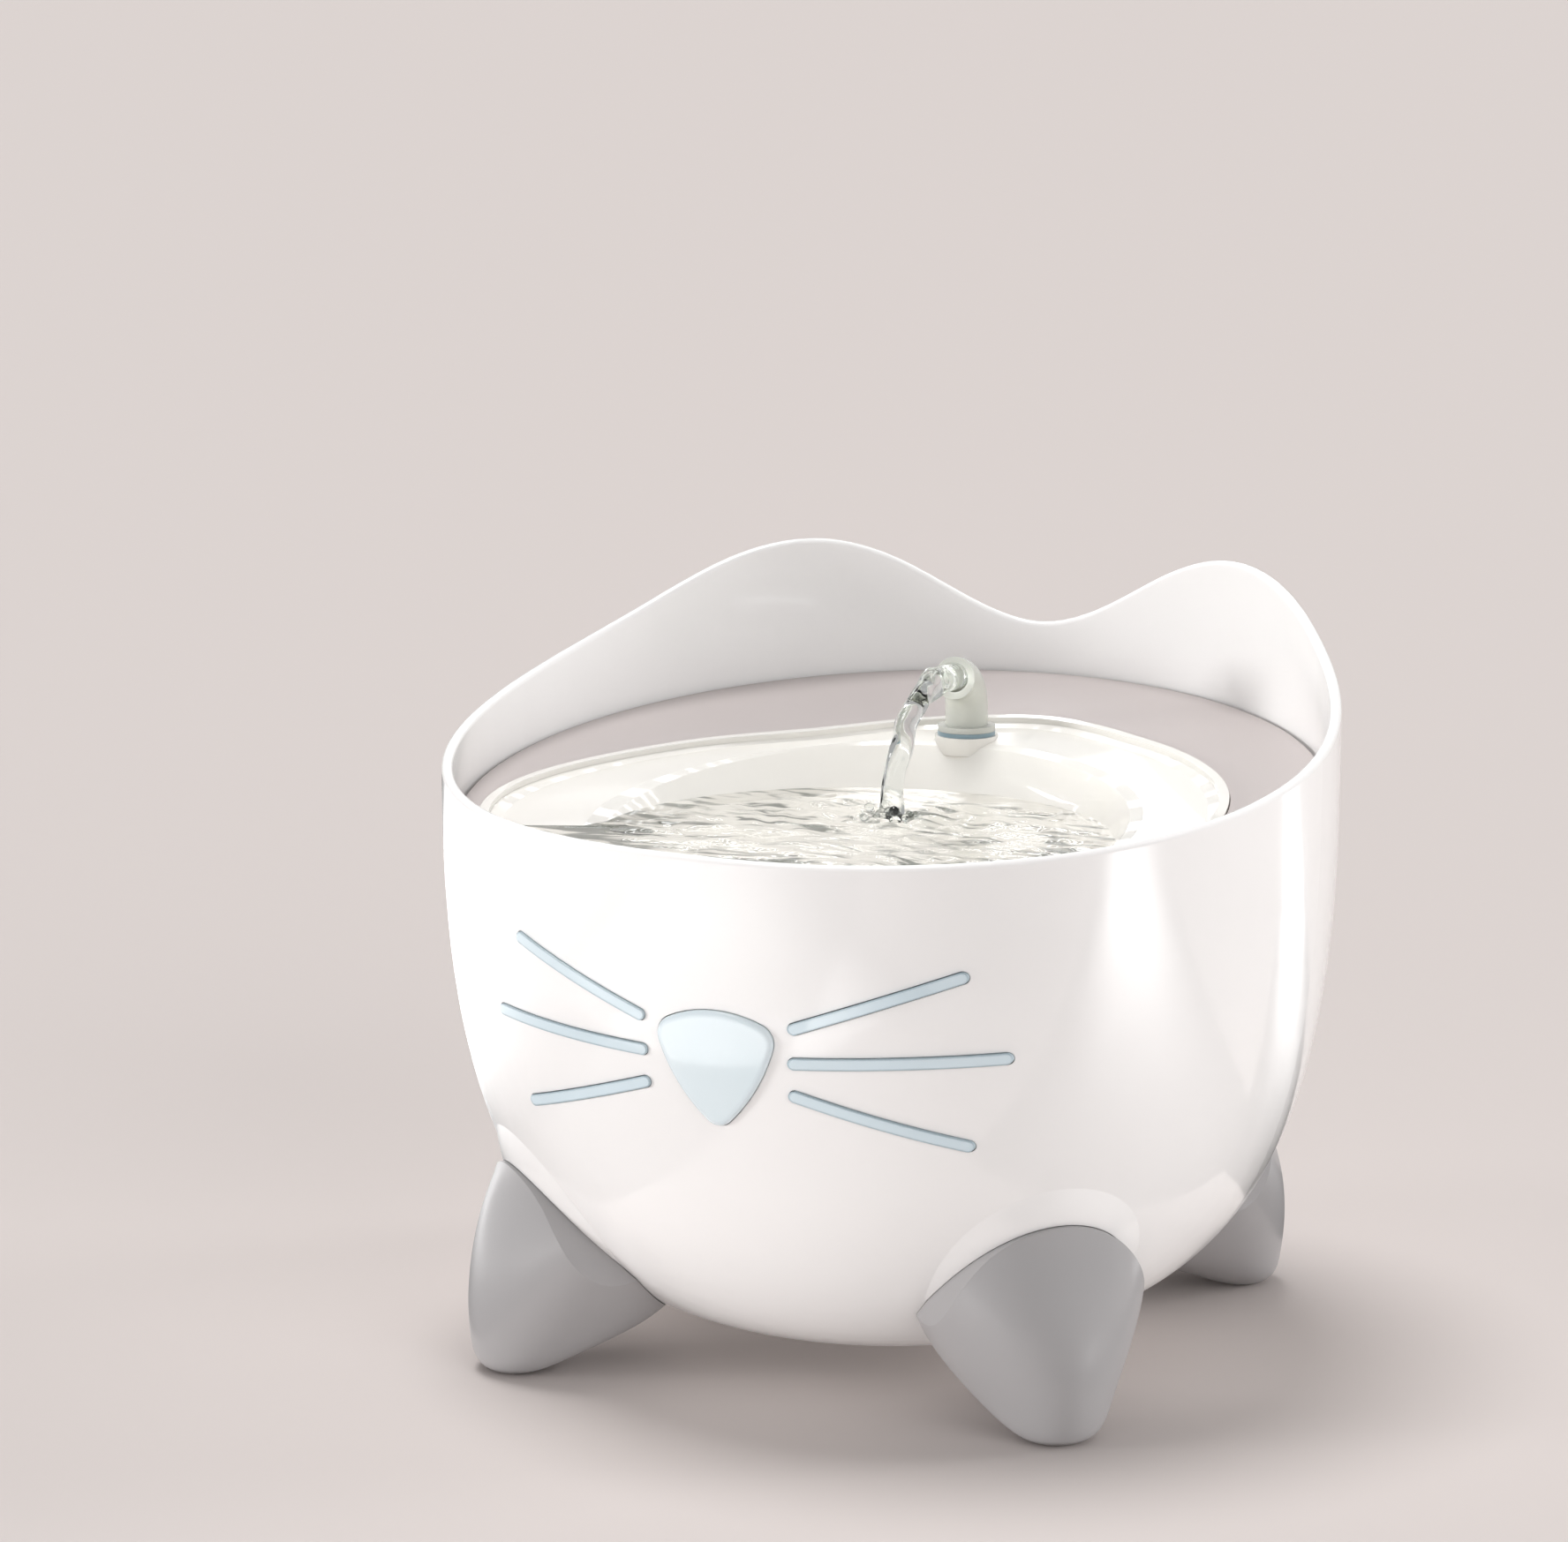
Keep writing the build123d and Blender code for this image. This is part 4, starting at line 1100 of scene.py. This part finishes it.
@dataclass(frozen=True)
class GlossCard:
    """A bright card on the floor that only the gloss of the object shows."""

    name: str
    turn: float  # degrees to the right of the camera, seen from the object
    near: float  # from the object's axis to its near end
    far: float  # and to its far end
    width: float
    strength: float
    soft_side: float = 0.5  # share of the width over which its right side fades
    soft_end: float = 0.6  # share of the length over which its near end fades
    soft_left: float = 0.12  # share of the width over which its left side fades
    lift: float = 2.0 * MM  # above the floor

    def build(self, camera_turn: float) -> None:
        """Lays the card.

        Args:
            camera_turn: The camera's bearing, in degrees from straight in front.
        """
        mesh = bmesh.new()
        bmesh.ops.create_grid(mesh, x_segments=1, y_segments=1, size=0.5)
        length = self.far - self.near
        bmesh.ops.scale(mesh, verts=mesh.verts, vec=Vector((self.width, length, 1.0)))
        middle = Vector((0.0, -(self.near + self.far) / 2, self.lift))
        bmesh.ops.translate(mesh, verts=mesh.verts, vec=middle)
        card = new_piece(self.name, mesh, self.paint())
        card.rotation_euler = (0.0, 0.0, math.radians(camera_turn + self.turn))
        hide_from(card, "camera", "diffuse", "shadow")

    def paint(self) -> Material:
        """Makes the card's glow, which fades at its two sides and its near end.

        Returns:
            The material.
        """
        material = blank_material(self.name + "_glow")
        tree = material.node_tree
        axes = add_node(tree, "ShaderNodeSeparateXYZ", {"Vector": add_place(tree)}).outputs
        half = self.width / 2
        right = add_ramp(tree, axes["X"], half, half - self.width * self.soft_side, smooth=True)
        left = add_ramp(tree, axes["X"], -half, -half + self.width * self.soft_left, smooth=True)
        full = -self.near - (self.far - self.near) * self.soft_end
        end = add_ramp(tree, axes["Y"], -self.near, full, top=self.strength, smooth=True)
        glow = add_math(tree, "MULTIPLY", add_math(tree, "MULTIPLY", right, left), end)
        add_surface(tree, add_node(tree, "ShaderNodeEmission", {"Strength": glow}).outputs["Emission"])
        return material


@dataclass(frozen=True)
class Flag:
    """A panel behind the bowl, dark with a few bright streaks, that only ripples and gloss show."""

    place: tuple[float, float, float] = (-120 * MM, 262 * MM, 330 * MM)
    target: tuple[float, float, float] = (0.0, -20 * MM, 121 * MM)  # the pool's middle
    width: float = 0.5
    height: float = 0.26
    streaks: float = 9.0  # across a metre
    streak_bend: float = 4.0
    streak_detail: float = 2.0
    streak_detail_scale: float = 1.5
    dark_below: float = 0.6  # wave level under which nothing glows
    bright_above: float = 0.9
    brightness: float = 4.5

    def build(self) -> None:
        """Hangs the panel so that it faces the pool."""
        mesh = bmesh.new()
        bmesh.ops.create_grid(mesh, x_segments=1, y_segments=1, size=0.5)
        bmesh.ops.scale(mesh, verts=mesh.verts, vec=Vector((self.width, self.height, 1.0)))
        flag = new_piece("flag", mesh, self.paint())
        flag.location = self.place
        facing = Vector(self.target) - Vector(self.place)
        flag.rotation_euler = facing.to_track_quat("Z", "Y").to_euler()
        hide_from(flag, "camera", "diffuse", "shadow", "transmission")

    def paint(self) -> Material:
        """Makes the panel's streaked glow.

        Returns:
            The material.
        """
        material = blank_material("flag_streaked_glow")
        tree = material.node_tree
        bands = add_node(
            tree,
            "ShaderNodeTexWave",
            {
                "Vector": add_place(tree),
                "Scale": self.streaks,
                "Distortion": self.streak_bend,
                "Detail": self.streak_detail,
                "Detail Scale": self.streak_detail_scale,
            },
            bands_direction="Y",
        ).outputs["Fac"]
        glow = add_ramp(tree, bands, self.dark_below, self.bright_above, top=self.brightness)
        add_surface(tree, add_node(tree, "ShaderNodeEmission", {"Strength": glow}).outputs["Emission"])
        return material


@dataclass
class Studio:
    """Floor, light and camera."""

    floor_colour: str = "#CFC7C4"
    floor_reach: float = 40.0
    floor_cells: int = 4
    camera_place: tuple[float, float, float] = (387.9 * MM, -984.8 * MM, 326.8 * MM)
    camera_turn: float = 22.82  # degrees from straight in front, towards +X
    camera_tilt: float = 10.44  # degrees downwards
    camera_sight: float = 100.0
    lens: float = 107.24  # millimetres, as is the sensor
    sensor: float = 36.0
    sky_colour: str = "#FFFFFF"
    sky_strength: float = 0.4
    table_place: tuple[float, float, float] = (20 * MM, -170 * MM, 1.5 * MM)
    table_reach: float = 0.4
    table_power: float = 0.08  # watts
    suns: tuple[Sun, ...] = (
        Sun("key", strength=1.8, spread=24.0, height=78.0, turn=-140.0),
        Sun("fill_left", strength=2.5, spread=16.0, height=2.0, turn=-82.0, mirrored=False),
        Sun("fill_right", strength=1.2, spread=20.0, height=11.0, turn=103.0, mirrored=False),
        Sun("fill_inside", strength=0.72, spread=40.0, height=20.0, turn=36.0, mirrored=False),
    )
    cards: tuple[GlossCard, ...] = (
        GlossCard(
            "card_front_right", turn=57.0, near=0.12, far=0.9, width=0.23, strength=7.0, soft_left=0.35
        ),
        GlossCard(
            "card_back_right", turn=114.0, near=0.12, far=0.9, width=0.14, strength=6.0, soft_left=0.3
        ),
        GlossCard(
            "card_left",
            turn=-88.0,
            near=0.11,
            far=1.2,
            width=1.5,
            strength=1.8,
            soft_side=0.3,
            soft_end=0.3,
        ),
        GlossCard(
            "card_nose",
            turn=-40.0,
            near=0.245,
            far=1.0,
            width=0.56,
            strength=5.5,
            soft_side=0.45,
            soft_end=0.02,
            soft_left=0.2,
        ),
        GlossCard(
            "card_back_left",
            turn=-132.0,
            near=0.12,
            far=0.9,
            width=0.6,
            strength=3.6,
            soft_side=0.4,
            soft_end=0.3,
        ),
    )

    def build(self) -> None:
        """Sets up the whole studio."""
        self.floor()
        self.sky()
        self.light_table()
        for sun in self.suns:
            sun.build(self.camera_turn)
        for card in self.cards:
            card.build(self.camera_turn)
        Flag().build()
        self.camera()
        view = bpy.context.scene.view_settings
        view.view_transform = "Standard"
        view.look = "None"

    def floor(self) -> None:
        """Lays the plain pale floor."""
        material = blank_material("studio_paper_matt")
        tree = material.node_tree
        shader = add_node(tree, "ShaderNodeBsdfDiffuse", {"Color": linear(self.floor_colour)})
        add_surface(tree, shader.outputs["BSDF"])
        mesh = bmesh.new()
        cells = self.floor_cells
        bmesh.ops.create_grid(mesh, x_segments=cells, y_segments=cells, size=self.floor_reach)
        new_piece("studio_floor", mesh, material)

    def sky(self) -> None:
        """Makes the even light from all round."""
        world = bpy.data.worlds.new("studio_sky")
        bpy.context.scene.world = world
        world.use_nodes = True
        tree = world.node_tree
        tree.nodes.clear()
        light = {"Color": linear(self.sky_colour), "Strength": self.sky_strength}
        sky = add_node(tree, "ShaderNodeBackground", light)
        add_node(tree, "ShaderNodeOutputWorld", {"Surface": sky.outputs["Background"]})

    def light_table(self) -> None:
        """Lights the object's underside from the floor, as a pale table would."""
        data = bpy.data.lights.new("light_table", "AREA")
        data.shape = "DISK"
        data.size = self.table_reach
        data.energy = self.table_power
        lamp = bpy.data.objects.new("light_table", data)
        lamp.location = self.table_place
        lamp.rotation_euler = (math.pi, 0.0, 0.0)
        hide_from(lamp, "camera", "glossy", "transmission")
        bpy.context.scene.collection.objects.link(lamp)

    def camera(self) -> None:
        """Stands the camera in front, a little to the right and above."""
        data = bpy.data.cameras.new("camera")
        data.lens = self.lens
        data.sensor_width = self.sensor
        data.clip_end = self.camera_sight
        camera = bpy.data.objects.new("camera", data)
        camera.location = self.camera_place
        camera.rotation_euler = (math.radians(90 - self.camera_tilt), 0.0, math.radians(self.camera_turn))
        bpy.context.scene.collection.objects.link(camera)
        bpy.context.scene.camera = camera


def main() -> None:
    """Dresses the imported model, adds the water and sets up the studio."""
    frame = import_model()
    noise.seed_set(NOISE_SEED)
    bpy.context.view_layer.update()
    pieces = MouldedPieces(frame["nodes"], frame["record"])
    pieces.dress()
    Pool(STANDING_WATER.build(), frame["nodes"]["drinking_dish"]).build()
    clear = WaterFinish().build()
    Stream(clear).build()
    Drops(clear).build()
    FilterPad(pieces.material_for("filter_media")).build()
    Studio().build()


if __name__ == "__main__":
    logging.basicConfig(level=logging.INFO, format="%(name)s: %(message)s")
    main()
